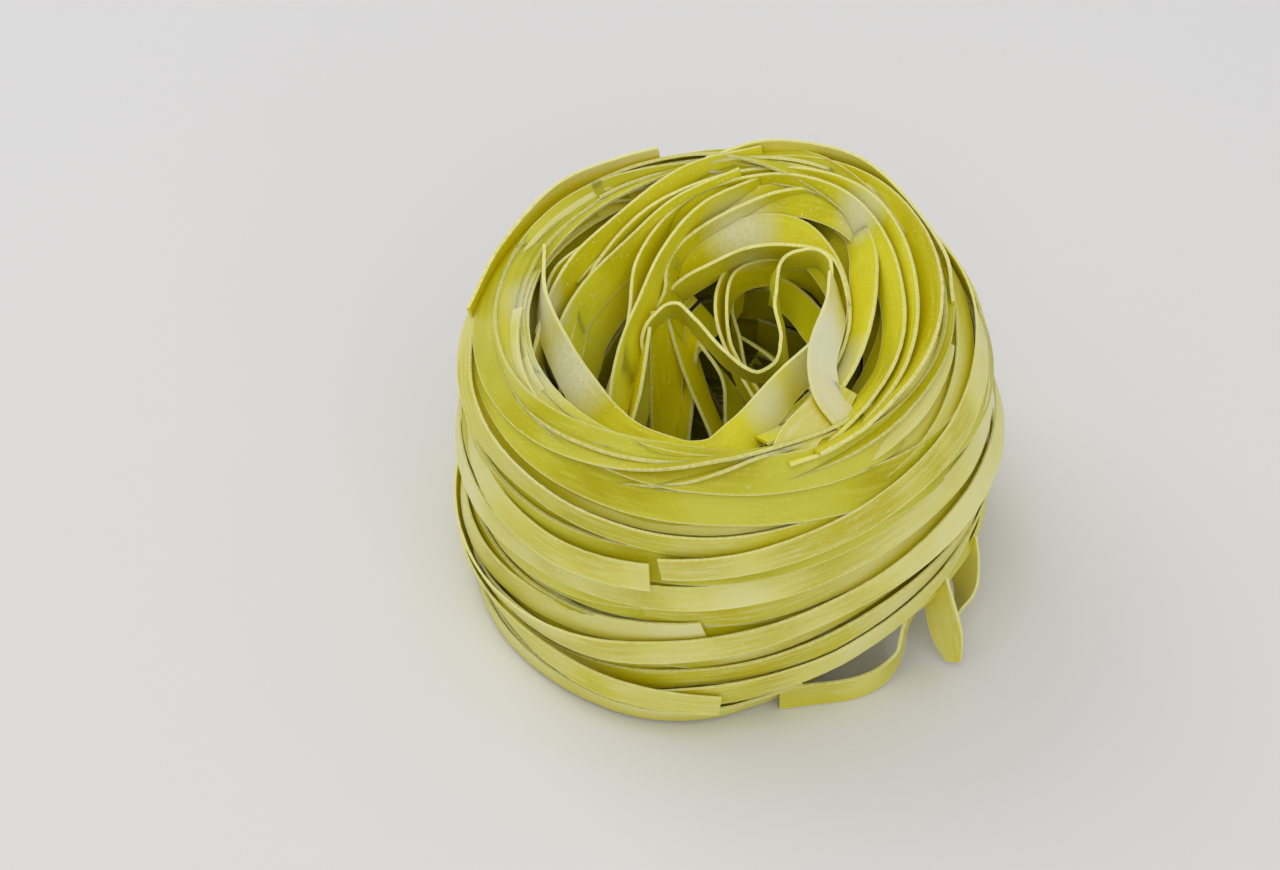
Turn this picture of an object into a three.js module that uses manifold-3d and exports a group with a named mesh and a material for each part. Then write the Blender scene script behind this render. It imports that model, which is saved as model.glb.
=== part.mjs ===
// A dry pasta nest: flat ribbons of pasta wound into a squat round nest with an off-centre hollow.
// Millimetres, +Z up. The origin is the centre of the flat underside; the hollow opens upwards.
// Angles are measured anticlockwise from +X, so the front of the nest is at 270 degrees.
import * as THREE from "three";
import { mergeVertices } from "three/addons/utils/BufferGeometryUtils.js";
import Module from "manifold-3d";

const wasm = await Module();
wasm.setup();

// The ribbon: pressed flat, cut to one width, and stiff across its width.
const RIBBON_WIDTH = 4.8;
const RIBBON_THICKNESS = 0.6;
const PRESSED_IN = 0.12; // how far a ribbon is pressed into what it lies on
const SHORTEST_EDGE = 0.2; // of the finished solid
const FOLD_LIMIT = 0.2; // least agreement of a face's direction before and after
const THINNEST = 0.01; // height of a face
const SLIVER_PASSES = 6;
const FINE_STEP = 0.5; // spacing at which a free ribbon's route is walked
const LONGEST_FACET = 6.5; // of a free ribbon
const SHARPEST_FACET = 26; // most that a free ribbon turns between two facets, degrees
const WRAP_STEP = 12; // angle of one facet of a wound ribbon, degrees
const WRAP_ROOT = 1.2; // depth that a wound ribbon's inner face is carried into the mass

// The outside of the nest, as radius against height, before the ribbons are laid on.
const BASE_RADIUS = 33.4;
const BELLY_RADIUS = 35.2;
const BELLY_HEIGHT = 22;
const RIM_RADIUS = 27.6;
const RIM_HEIGHT = 45.4;
const RIM_ROUNDING = 3; // radius of the turn from the shoulder into the mouth
const MOUTH_WIDTH = 18; // how far the stacking surface runs on past the rim
const TUCK_DEPTH = 6; // the foot draws in on one side, where the wraps climb
const TUCK_HEIGHT = 15;
const TUCK_ANGLE = 325;

const radians = THREE.MathUtils.degToRad;
const turned = (angle, from) => THREE.MathUtils.euclideanModulo(angle - from + 180, 360) - 180;

// A smooth hill of height 1 at one angle, falling to 0 at half a spread to each side.
function hill(angle, middle, spread) {
  const away = Math.abs(turned(angle, middle)) / spread;
  return away < 1 ? 0.5 + 0.5 * Math.cos(Math.PI * away) : 0;
}

// The profile of the outside as short chords, with the distance run along it from the foot.
const profile = [];
for (let i = 0; i <= 60; i += 1) {
  const height = (BELLY_HEIGHT * i) / 60;
  const radius = BASE_RADIUS + (BELLY_RADIUS - BASE_RADIUS) * Math.sin(((i / 60) * Math.PI) / 2);
  profile.push({ radius, height, run: 0 });
}
for (let i = 1; i <= 120; i += 1) {
  const turn = ((i / 120) * Math.PI) / 2;
  const radius = RIM_RADIUS + (BELLY_RADIUS - RIM_RADIUS) * Math.cos(turn);
  profile.push({ radius, height: BELLY_HEIGHT + (RIM_HEIGHT - BELLY_HEIGHT) * Math.sin(turn), run: 0 });
}
for (let i = 1; i < profile.length; i += 1) {
  const [a, b] = [profile[i - 1], profile[i]];
  b.run = a.run + Math.hypot(b.radius - a.radius, b.height - a.height);
}
const RIM_RUN = profile[profile.length - 1].run;

// The place on the profile where one of its values reaches the amount asked for.
function profileAt(key, amount) {
  const next = Math.max(1, profile.findIndex((p) => p[key] >= amount));
  const [a, b] = [profile[next - 1], profile[next]];
  const share = (amount - a[key]) / (b[key] - a[key]);
  return {
    radius: a.radius + (b.radius - a.radius) * share,
    height: a.height + (b.height - a.height) * share,
    run: a.run + (b.run - a.run) * share,
  };
}

// The stacking surface: up the outside, over the rim and down into the mouth.
function surface(angle, run) {
  let radius;
  let height;
  if (run <= RIM_RUN) {
    ({ radius, height } = profileAt("run", Math.max(run, 0)));
  } else {
    const fall = radians(62 - 30 * hill(angle, 350, 110));
    const past = run - RIM_RUN;
    const turn = Math.min(past / RIM_ROUNDING, fall);
    const straight = past - turn * RIM_ROUNDING;
    radius = RIM_RADIUS - RIM_ROUNDING * Math.sin(turn) - straight * Math.cos(fall);
    height = RIM_HEIGHT - RIM_ROUNDING * (1 - Math.cos(turn)) - straight * Math.sin(fall);
  }
  radius -= TUCK_DEPTH * hill(angle, TUCK_ANGLE, 75) * Math.max(0, 1 - height / TUCK_HEIGHT) ** 2;
  const rise = 2 * hill(angle, 60, 100) - 1.5 * hill(angle, 215, 90);
  height += rise * THREE.MathUtils.smoothstep(height, 25, 45);
  return new THREE.Vector3(radius * Math.cos(radians(angle)), radius * Math.sin(radians(angle)), height);
}

// A point of the surface with the direction straight out of it.
function surfaceFrame(angle, run) {
  const along = surface(angle, run + 0.5).sub(surface(angle, Math.max(run - 0.5, 0)));
  const round = new THREE.Vector3(-Math.sin(radians(angle)), Math.cos(radians(angle)), 0);
  return { point: surface(angle, run), out: round.cross(along).normalize() };
}

// How high the ribbons already laid stand off the surface, over angle and run.
const PILE_ANGLE = 3;
const PILE_RUN = 0.4;
const pileColumns = Array.from({ length: 360 / PILE_ANGLE }, () =>
  new Float64Array(Math.ceil((RIM_RUN + MOUTH_WIDTH) / PILE_RUN)));
const pileColumn = (angle) =>
  pileColumns[THREE.MathUtils.euclideanModulo(Math.round(angle / PILE_ANGLE), pileColumns.length)];

function pileCells(run) {
  const cells = [];
  const last = pileColumns[0].length - 1;
  const first = Math.max(Math.ceil((run - RIBBON_WIDTH / 2) / PILE_RUN), 0);
  for (let cell = first; cell <= Math.min((run + RIBBON_WIDTH / 2) / PILE_RUN, last); cell += 1) {
    cells.push({ cell, across: cell * PILE_RUN - run });
  }
  return cells;
}

// A ribbon is straight across its width, so it rests on the two highest spots beneath it,
// one to each side of its middle. This gives the height of its lower and upper edge.
const STEEPEST = 0.3;
function restingEdges(angle, run) {
  const column = pileColumn(angle);
  const spots = pileCells(run).map(({ cell, across }) => ({ across, height: column[cell] }));
  const hull = [];
  for (const spot of spots) {
    while (hull.length > 1) {
      const [a, b] = hull.slice(-2);
      const under = (b.across - a.across) * (spot.height - a.height)
        - (b.height - a.height) * (spot.across - a.across);
      if (under < 0) break;
      hull.pop();
    }
    hull.push(spot);
  }
  const after = hull.findIndex((spot) => spot.across > 0);
  const [a, b] = [hull[Math.max(after - 1, 0)], hull[Math.max(after, 1)]];
  const slope = THREE.MathUtils.clamp((b.height - a.height) / (b.across - a.across), -STEEPEST, STEEPEST);
  const middle = Math.max(...spots.map((spot) => spot.height - slope * spot.across));
  return [middle - (slope * RIBBON_WIDTH) / 2, middle + (slope * RIBBON_WIDTH) / 2];
}

// A stiff ribbon bridges short dips, so its heights are raised to their neighbours' and smoothed.
function bridged(heights) {
  const at = (list, i) => list[THREE.MathUtils.clamp(i, 0, list.length - 1)];
  let result = heights.map((_, i) => Math.max(at(heights, i - 1), at(heights, i), at(heights, i + 1)));
  for (let pass = 0; pass < 3; pass += 1) {
    result = result.map((_, i) => [-2, -1, 0, 1, 2].reduce((sum, k) => sum + at(result, i + k), 0) / 5);
  }
  return result;
}

// A ribbon as a box with cross-cuts, bent so that each cross-cut lies at its own station.
// A station is the middle of the ribbon and the direction across its width. A wound ribbon has
// a root as well, which carries its inner face down into what it lies on.
function ribbonSolid(stations, root = 0) {
  const segments = stations.length - 1;
  const box = new THREE.BoxGeometry(1, RIBBON_THICKNESS + root, RIBBON_WIDTH, segments, 1, 1);
  box.translate(0, root / 2, 0);
  const place = box.getAttribute("position");
  const frames = stations.map(({ middle, across }, i) => {
    const before = stations[Math.max(i - 1, 0)].middle;
    const along = stations[Math.min(i + 1, segments)].middle.clone().sub(before).normalize();
    const width = across.clone().addScaledVector(along, -across.dot(along)).normalize();
    return { middle, width, face: width.clone().cross(along) };
  });
  for (let i = 0; i < place.count; i += 1) {
    const { middle, width, face } = frames[Math.round((place.getX(i) + 0.5) * segments)];
    const point = middle.clone().addScaledVector(face, place.getY(i)).addScaledVector(width, place.getZ(i));
    place.setXYZ(i, point.x, point.y, point.z);
  }
  return solidOf(box);
}

function solidOf(geometry) {
  geometry.deleteAttribute("normal");
  geometry.deleteAttribute("uv");
  const merged = mergeVertices(geometry, 1e-4);
  return new wasm.Manifold(new wasm.Mesh({
    numProp: 3,
    vertProperties: Float32Array.from(merged.getAttribute("position").array),
    triVerts: Uint32Array.from(merged.getIndex().array),
  }));
}

// One wound ribbon. It runs round the nest at the height it has at the front, tilts from the low
// left to the high right, and dishes up at the back; it lies on whatever is already there.
function wrap({ front, tilt, dish, from, sweep }) {
  const steps = Math.round(sweep / WRAP_STEP);
  const start = profileAt("height", front).run;
  const route = Array.from({ length: steps + 1 }, (_, i) => {
    const angle = from + (sweep * i) / steps;
    const round = radians(angle - 270);
    const run = start + tilt * Math.sin(round) + dish * (1 - Math.cos(round));
    return { angle, run: Math.max(run, RIBBON_WIDTH * 0.45) };
  });
  const edges = route.map(({ angle, run }) => restingEdges(angle, run));
  const lower = bridged(edges.map((pair) => pair[0]));
  const upper = bridged(edges.map((pair) => pair[1]));
  const lift = RIBBON_THICKNESS / 2 - PRESSED_IN;
  return route.map(({ angle, run }, i) => {
    const low = surfaceFrame(angle, run - RIBBON_WIDTH / 2);
    const high = surfaceFrame(angle, run + RIBBON_WIDTH / 2);
    low.point.addScaledVector(low.out, lower[i] + lift);
    high.point.addScaledVector(high.out, upper[i] + lift);
    for (let side = -WRAP_STEP / 2; side < WRAP_STEP / 2; side += PILE_ANGLE) {
      const column = pileColumn(angle + side);
      for (const { cell, across } of pileCells(run)) {
        const under = lower[i] + (upper[i] - lower[i]) * (across / RIBBON_WIDTH + 0.5);
        column[cell] = Math.max(column[cell], under + RIBBON_THICKNESS - PRESSED_IN);
      }
    }
    return {
      middle: low.point.clone().add(high.point).multiplyScalar(0.5),
      across: high.point.sub(low.point).normalize(),
    };
  });
}

// The wound ribbons, in the order they are laid: height at the front, tilt, dish, start and sweep.
const WRAPS = [
  { front: 38.2, tilt: 1.5, dish: 3.5, from: 180, sweep: 350 },
  { front: 23.4, tilt: 5, dish: 1.5, from: 250, sweep: 340 },
  { front: 44.6, tilt: 0.5, dish: 2.5, from: 60, sweep: 270 },
  { front: 35, tilt: 1.8, dish: 5.5, from: 60, sweep: 330 },
  { front: 6, tilt: 6, dish: 2, from: 30, sweep: 290 },
  { front: 16.2, tilt: 9, dish: 1, from: 20, sweep: 325 },
  { front: 12, tilt: 10, dish: 1, from: 60, sweep: 340 },
  { front: 8.6, tilt: 9, dish: 2, from: 200, sweep: 145 },
  { front: 21.2, tilt: 9, dish: 1, from: 20, sweep: 242 },
  { front: 18.6, tilt: 9.8, dish: 1, from: 90, sweep: 310 },
  { front: 26.8, tilt: 5.2, dish: 2.6, from: 100, sweep: 330 },
  { front: 42.3, tilt: 0.3, dish: 4.2, from: 176, sweep: 169 },
  { front: 31, tilt: 6.5, dish: 5, from: 60, sweep: 191 },
  { front: 32.4, tilt: 5.5, dish: 2.5, from: 254, sweep: 180 },
  { front: 2.6, tilt: 3, dish: 0, from: 120, sweep: 165 },
  { front: 14, tilt: -4, dish: -5.2, from: -12, sweep: 170 },
  { front: 17.5, tilt: -3, dish: -4, from: -25, sweep: 190 },
  { front: 21, tilt: -2, dish: -3, from: 10, sweep: 150 },
];

// The free ribbons, each as the few places that its middle line passes. A place is x, y, the
// height, and the lean of the ribbon in degrees: 0 stands on edge, 90 lies flat. A positive lean
// tips the upper edge to the right of the way the ribbon runs.
const FREE_RIBBONS = {
  // The bright ribbon round the mouth. It runs on inwards as a loop in the shape of an S.
  sash: [[-23, 13, 42, 0], [-23, 3, 42, -20], [-19.5, -8.5, 41.5, -50], [-12.5, -20.5, 41, -65],
    [-6.5, -24, 41.5, -105], [-2, -24, 41.5, -100], [2, -21, 42, -70], [12.5, -7.5, 43, -15],
    [14.5, 8, 42, 0], [12, 11.5, 41, 0], [9, 10.5, 40.5, 0], [7.5, 3, 39.5, 0], [7.5, -4.5, 39, 0],
    [4.5, -9, 38.5, 0], [0, -5, 38.5, 5], [-4, 1, 38.5, 15], [-7, 4.5, 39, 20], [-9, 3, 37, 15],
    [-11, 0, 30, 5], [-14, -6, 24, 0]],
  // Long ribbons that rise out of the left of the hollow and run round the back and the right.
  outerLoop: [[-20, -11, 33, 0], [-21, -2, 34, 0], [-20, 3, 35, -5], [-15.5, 11.5, 39.5, -15],
    [-7, 19.5, 42.5, -25], [7, 23.5, 44, -30], [18.5, 18, 45, -30], [23.5, 3, 45.5, -35],
    [21.5, -13, 44.5, -40], [12.5, -24.5, 43, -60], [6, -27.5, 43, -65]],
  middleLoop: [[-18, -15, 27, 0], [-14, -4.5, 32, -5], [-12, 4, 36.5, -10], [-10, 12, 40, -15],
    [-4, 20, 42, -20], [7, 22.5, 43.5, -25], [16.5, 17.5, 44.5, -28], [21.5, 5, 45, -35],
    [20.5, -12, 44.5, -38], [11, -24.5, 43, -55], [4, -27, 42.5, -65]],
  innerLoop: [[-17, -11, 24, 0], [-11.5, 3.5, 31.5, -5], [-7, 9.5, 36, -5], [-6, 13, 38, -10],
    [-2.5, 16.5, 39.5, -20], [10.5, 20.5, 42, -35], [16, 18, 43, -45], [19, 7, 43.5, -50],
    [15.5, -10.5, 42.5, -40], [8.5, -20, 41.5, -55], [3.5, -22.5, 41.5, -60]],
  rimLoop: [[-24, 2, 37, -5], [-21, 10, 40, -15], [-16, 14, 41.5, -20], [-11, 19, 42.5, -25],
    [-2.5, 24, 43.5, -35], [11.5, 24.5, 45, -40], [21, 18.5, 45.5, -40], [26.5, 3.5, 46, -45],
    [24.5, -11.5, 45.5, -45], [15.5, -23, 44, -60], [9.5, -27, 44, -65]],
  // The broad ribbon at the back that leans open, and the one that rings the hole.
  openRibbon: [[-9, 6, 33, -10], [-5, 13, 36, -30], [-0.5, 17, 38, -40], [5, 19, 39.5, -50],
    [10.5, 17, 40.5, -50], [14, 11, 40.5, -35], [16, 0, 40.5, -15], [14, -7.5, 40, -25],
    [6.5, -18, 39.5, -45]],
  mouthRing: [[-9, 5, 32, -10], [-5.5, 10, 35.5, -20], [-0.5, 11.5, 38, -20], [5.5, 12.5, 40, -15],
    [13.5, 11, 40.5, -5], [16, 1, 41, -5], [13.5, -9, 40.5, -10]],
  holeRing: [[16, 2, 32, 0], [14, 12.5, 34.5, 0], [11, 15.5, 35, 0], [2.5, 13.5, 35.5, 0],
    [1, 2.5, 33.5, 0], [4.5, -4, 29.5, 0], [9, -8, 24, 0], [14, -11, 20, 0]],
  holeCurl: [[8, 17.5, 34, 0], [2.5, 15.5, 35, 5], [0.5, 12.5, 34.5, 10], [0, 5.5, 33.5, 15],
    [6.5, -8.5, 28.5, 30], [10, -16, 23, 30]],
  holeArch: [[14, 5, 25, 0], [13.5, 10, 27.5, 0], [12, 15.5, 29, 0], [5.5, 18, 30.5, 0],
    [2, 14, 29.5, 0], [2.5, 8.5, 27.5, 0], [4, 0, 22, 0], [6, -6, 15, 0]],
  holeSlant: [[5, 19, 31, -10], [7, 16.5, 31.5, -10], [10, 12.5, 32.5, -20], [12.5, 6.5, 33.5, -35],
    [16, -4, 34, -30]],
  crossing: [[-3, 18, 22, 40], [0.5, 16.5, 24, 40], [7, 7.5, 27, 40], [11, 0, 28.5, 40],
    [15.5, -5, 30, 40]],
  lowCrossing: [[15, 21, 28, 40], [13, 18, 25, 40], [6.5, 12.5, 20.5, 40], [3, 7.5, 18, 40],
    [0, 2, 12, 40]],
  // Short stretches that drop into the left of the hollow.
  leftUpright: [[-8.5, 3.5, 36, 5], [-10, -4.5, 31.5, 5], [-12.5, -10.5, 28.5, 5], [-16, -17, 25, 5]],
  middleUpright: [[-7, 4.5, 36, 0], [-7.5, 3.5, 32, 0], [-8, -2.5, 20, 0], [-8, -5, 12, 0]],
  lowUpright: [[-4, 8, 32, 0], [-5, 5, 28, 0], [-5.5, 1, 25, 0], [-6.5, -2.5, 20, 0], [-7, -5, 12, 0]],
  rightUpright: [[-6.5, 6.5, 34, 0], [-3.5, 1.3, 28, 0], [-0.5, -4, 22, 0], [2, -8, 13, 0]],
  thinUpright: [[-3, 5.5, 32, 0], [0.5, 1.5, 28, 0], [1.5, -2, 23, 0], [2, -5, 12, 0]],
  leftChord: [[-21, -4, 30, 0], [-18.5, 3, 32.5, -5], [-17, 6.5, 34, -5], [-9, 16, 38.5, -15],
    [-3, 20, 40, -20], [4, 22.5, 41.5, -25]],
  deepChord: [[-20, -4, 22, 0], [-17.5, 3.5, 26, 0], [-10.5, 14, 30.5, 0], [-9, 17, 31.5, 0],
    [-4, 22, 33, -5]],
  wallChord: [[-25, -3, 32, 0], [-22.5, 6, 35, -5], [-18.5, 9.5, 38, -10], [-9.5, 18, 41, -20],
    [-2, 24, 42, -25]],
  backChord: [[-6, 18, 39, -30], [-1.5, 20.5, 40.5, -35], [9, 22, 42.5, -45], [16.5, 18, 43.5, -45],
    [22, 10, 43.5, -45]],
  // Broken ends and loose ends.
  brokenStub: [[15, 4, 43, 20], [14.5, -2.5, 44.5, 30], [12, -14, 45.5, 50], [12, -22, 44, 60]],
  flap: [[14, -16, 44, 65], [12.5, -19.5, 44, 70], [8.5, -25, 44.5, 80], [7, -27.5, 43.5, 80]],
  standingBand: [[30, -1.5, 42.5, -5], [29.5, 6, 44, -5], [20, 23.5, 45.5, 0], [7.5, 28, 45.5, 5],
    [-0.5, 26, 44.5, 10]],
  backEnd: [[-33, 5, 39, -5], [-28.5, 14, 42, 0], [-20.5, 23.5, 44, 0], [-11, 27.5, 45, 0],
    [-7, 28, 45.5, 0]],
  footLoop: [[5.5, -32, 2.5, 5], [16.5, -30.5, 2.5, 5], [20, -28.5, 3, -10], [21.5, -27, 4.5, -25],
    [22.5, -26.5, 8.5, -45], [24.5, -24, 14, -50]],
  footEnd: [[25, -22, 14, 10], [29, -25.5, 2.5, 25]],
  rearFootEnd: [[30, -18.5, 16, 0], [31.5, -18.5, 9, -10], [31, -18.5, 5.5, -20]],
};

// A free ribbon's facets are long where it runs straight and short where it turns.
function freeRibbon(places) {
  const route = new THREE.CatmullRomCurve3(places.map(([x, y, z]) => new THREE.Vector3(x, y, z)));
  const fine = Math.round(route.getLength() / FINE_STEP);
  const stations = [];
  let last = { at: 0, along: route.getTangentAt(0) };
  for (let i = 0; i <= fine; i += 1) {
    const share = route.getUtoTmapping(i / fine);
    const along = route.getTangent(share);
    const turnedOn = THREE.MathUtils.radToDeg(along.angleTo(last.along));
    const far = (i - last.at) * FINE_STEP >= LONGEST_FACET || turnedOn >= SHARPEST_FACET;
    const nearEnd = (fine - i) * FINE_STEP < LONGEST_FACET / 4;
    if (i === 0 || i === fine || (far && !nearEnd)) {
      last = { at: i, along };
      const spot = share * (places.length - 1);
      const [a, b] = [places[Math.floor(spot)], places[Math.ceil(spot)]];
      const lean = radians(THREE.MathUtils.lerp(a[3], b[3], spot % 1));
      const side = new THREE.Vector3(along.y, -along.x, 0).normalize();
      const across = side.multiplyScalar(Math.sin(lean)).setZ(Math.cos(lean));
      stations.push({ middle: route.getPoint(share), across });
    }
  }
  return stations;
}

// Rings that line the hollow, each smaller, deeper and further off the centre than the last.
const LINING_RINGS = 3;
function liningRing(index) {
  const depth = index / (LINING_RINGS - 1);
  const steps = 18;
  return Array.from({ length: steps + 1 }, (_, i) => {
    const turn = (2 * Math.PI * (i + 3 * index)) / steps;
    const radius = (25 - 11 * depth) * (1 + 0.03 * Math.sin(2 * turn + index));
    const lean = radians(8 + 4 * Math.sin(2 * turn + index));
    const out = new THREE.Vector3(Math.cos(turn), Math.sin(turn), 0);
    const middle = new THREE.Vector3(-2 * depth, 0, 38 - 21 * depth + 1.5 * Math.sin(turn + index));
    return {
      middle: middle.addScaledVector(out, radius),
      across: out.multiplyScalar(Math.sin(lean)).setZ(Math.cos(lean)),
    };
  });
}

// The packed mass that the ribbons are fused to: the stacking surface outside, a funnel inside.
const CORE_COLUMNS = 24;
const CORE_OUTSIDE_RUNS = [0, 7, 14, 21, 28, 34, 39, 43.5];
const FUNNEL_RINGS = [
  { height: 41, radius: 24, x: -1, y: 0 },
  { height: 37, radius: 20.5, x: -3.5, y: -1 },
  { height: 27, radius: 18.5, x: -3, y: -1 },
  { height: 17, radius: 14, x: 0, y: 1 },
  { height: 11, radius: 9, x: 1, y: 2 },
];
const FUNNEL_FLOOR = 10.5;
function coreSolid() {
  const rows = CORE_OUTSIDE_RUNS.length + FUNNEL_RINGS.length;
  const outline = [new THREE.Vector2(0, 0)];
  for (let row = 0; row < rows; row += 1) outline.push(new THREE.Vector2(1, row + 1));
  outline.push(new THREE.Vector2(0, rows + 1));
  const lathe = new THREE.LatheGeometry(outline, CORE_COLUMNS);
  const place = lathe.getAttribute("position");
  for (let i = 0; i < place.count; i += 1) {
    const row = Math.round(place.getY(i)) - 1;
    const angle = THREE.MathUtils.radToDeg(Math.atan2(-place.getZ(i), place.getX(i)));
    const uneven = 0.5 * Math.sin(radians(3 * angle + 70 * row))
      + 0.4 * Math.sin(radians(5 * angle - 50 * row));
    let point;
    if (row < 0) {
      point = new THREE.Vector3(0, 0, 0);
    } else if (row >= rows) {
      point = new THREE.Vector3(FUNNEL_RINGS.at(-1).x, FUNNEL_RINGS.at(-1).y, FUNNEL_FLOOR);
    } else if (row < CORE_OUTSIDE_RUNS.length) {
      point = surface(angle, CORE_OUTSIDE_RUNS[row]);
    } else {
      const ring = FUNNEL_RINGS[row - CORE_OUTSIDE_RUNS.length];
      const radius = ring.radius + uneven;
      point = new THREE.Vector3(ring.x, ring.y, ring.height + uneven);
      point.add(new THREE.Vector3(radius * Math.cos(radians(angle)), radius * Math.sin(radians(angle)), 0));
    }
    place.setXYZ(i, point.x, point.y, point.z);
  }
  return solidOf(lathe);
}

// Everything is fused and trimmed level with the underside. Only the one body that everything
// holds to is kept, so a loose scrap goes and a bubble shut in between ribbons is filled.
function fused() {
  let body = coreSolid();
  for (const wound of WRAPS) body = body.add(ribbonSolid(wrap(wound), WRAP_ROOT));
  for (const places of Object.values(FREE_RIBBONS)) body = body.add(ribbonSolid(freeRibbon(places)));
  for (let index = 0; index < LINING_RINGS; index += 1) body = body.add(ribbonSolid(liningRing(index)));
  const floorBlock = new THREE.BoxGeometry(200, 200, 20);
  floorBlock.translate(0, 0, -10);
  const pieces = body.subtract(solidOf(floorBlock)).decompose();
  return pieces.sort((a, b) => b.volume() - a.volume())[0].getMesh();
}

// Joining leaves slivers where two surfaces cross at a shallow angle. An edge shorter than
// SHORTEST_EDGE is closed up, and a face with hardly any height gives its longest side to its
// neighbour. Neither is done where it would pinch the surface or fold a face over.
function withoutSlivers(points, allFaces) {
  const faces = [...allFaces];
  const facesAt = points.map(() => new Set());
  faces.forEach((face, index) => face.forEach((corner) => facesAt[corner].add(index)));
  const around = (corner) => new Set([...facesAt[corner]].flatMap((index) => faces[index]));
  const length = (face, side) => points[face[side]].distanceTo(points[face[(side + 1) % 3]]);
  const longer = (face, one, two) => (length(face, two) > length(face, one) ? two : one);
  const longestSide = (face) => [1, 2].reduce((best, side) => longer(face, best, side), 0);
  const triangle = (face) => new THREE.Triangle(...face.map((corner) => points[corner]));
  const isThin = (face) => (2 * triangle(face).getArea()) / length(face, longestSide(face)) < THINNEST;
  const direction = (face) => triangle(face).getNormal(new THREE.Vector3());
  const folds = (before, after) => !isThin(before) && direction(before).dot(direction(after)) < FOLD_LIMIT;

  function closeUp(kept, gone) {
    const beside = around(gone);
    const shared = [...around(kept)].filter((corner) => beside.has(corner));
    if (shared.length !== 4) return false;
    const dropped = [...facesAt[gone]].filter((index) => faces[index].includes(kept));
    const moved = [...facesAt[gone]].filter((index) => !faces[index].includes(kept));
    const renewed = moved.map((index) => faces[index].map((corner) => (corner === gone ? kept : corner)));
    if (renewed.some((face, i) => folds(faces[moved[i]], face))) return false;
    for (const index of dropped) {
      faces[index].forEach((corner) => facesAt[corner].delete(index));
      faces[index] = null;
    }
    moved.forEach((index, i) => {
      faces[index] = renewed[i];
      facesAt[kept].add(index);
    });
    facesAt[gone].clear();
    return true;
  }

  function swapLongest(index) {
    const side = longestSide(faces[index]);
    const [a, b, apex] = [0, 1, 2].map((step) => faces[index][(side + step) % 3]);
    const other = [...facesAt[a]].find((near) => near !== index && faces[near].includes(b));
    const far = faces[other].find((corner) => corner !== a && corner !== b);
    const renewed = [[a, far, apex], [far, b, apex]];
    if (around(apex).has(far) || renewed.some((face) => folds(faces[other], face))) return false;
    [faces[index], faces[other]] = renewed;
    facesAt[b].delete(index);
    facesAt[far].add(index);
    facesAt[a].delete(other);
    facesAt[apex].add(other);
    return true;
  }

  for (let pass = 0; pass < SLIVER_PASSES; pass += 1) {
    for (let index = 0; index < faces.length; index += 1) {
      for (let side = 0; side < 3 && faces[index]; side += 1) {
        const [kept, gone] = [faces[index][side], faces[index][(side + 1) % 3]];
        if (length(faces[index], side) < SHORTEST_EDGE) closeUp(kept, gone);
      }
      if (faces[index] && isThin(faces[index]) && !swapLongest(index)) {
        const [a, b, c] = faces[index];
        [[a, b], [b, c], [c, a], [b, a], [c, b], [a, c]].some(([kept, gone]) => closeUp(kept, gone));
      }
    }
  }
  return faces.filter((face) => face);
}

function geometryOf(mesh) {
  const points = [];
  for (let i = 0; i < mesh.vertProperties.length; i += 3) {
    points.push(new THREE.Vector3().fromArray(mesh.vertProperties, i));
  }
  const faces = [];
  for (let i = 0; i < mesh.triVerts.length; i += 3) faces.push(Array.from(mesh.triVerts.slice(i, i + 3)));
  const corners = withoutSlivers(points, faces).flat();
  const geometry = new THREE.BufferGeometry().setFromPoints(corners.map((corner) => points[corner]));
  geometry.computeVertexNormals();
  return geometry;
}

const pasta = new THREE.MeshStandardMaterial({ color: 0xb8b04a, roughness: 0.55, metalness: 0 });
const nest = new THREE.Mesh(geometryOf(fused()), pasta);
nest.name = "pasta_nest";
const group = new THREE.Group();
group.add(nest);
export default group;
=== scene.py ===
"""A dry pasta nest: flat ribbons of dried dough, wound into a squat round nest with a hollow.

Sizes are in millimetres, with x to the right, y to the back and z up. Angles go round the nest in
degrees, with 0 at the right, 90 at the back and 270 at the front.
"""
import math
import random

import bpy
import numpy as np
from mathutils import Matrix, Vector


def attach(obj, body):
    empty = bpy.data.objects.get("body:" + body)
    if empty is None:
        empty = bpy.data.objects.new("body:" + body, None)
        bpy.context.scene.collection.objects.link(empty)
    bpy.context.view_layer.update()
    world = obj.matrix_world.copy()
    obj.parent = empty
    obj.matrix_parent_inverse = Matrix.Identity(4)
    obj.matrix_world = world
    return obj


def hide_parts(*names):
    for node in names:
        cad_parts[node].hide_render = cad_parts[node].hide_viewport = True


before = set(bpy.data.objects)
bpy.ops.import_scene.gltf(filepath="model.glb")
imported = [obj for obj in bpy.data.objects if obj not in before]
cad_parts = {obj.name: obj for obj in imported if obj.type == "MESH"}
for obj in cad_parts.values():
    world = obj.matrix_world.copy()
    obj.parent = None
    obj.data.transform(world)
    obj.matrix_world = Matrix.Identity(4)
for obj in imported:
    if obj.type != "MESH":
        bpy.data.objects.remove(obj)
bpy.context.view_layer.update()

# --- The heart ------------------------------------------------------------------------------------
# The middle of a nest is ribbon pressed so close together that hardly any light gets in. It is
# one mass, painted dark as painted shade, that ends just inside the ribbons that show, with the
# hollow sunk into its top.
MM = 0.001

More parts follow.
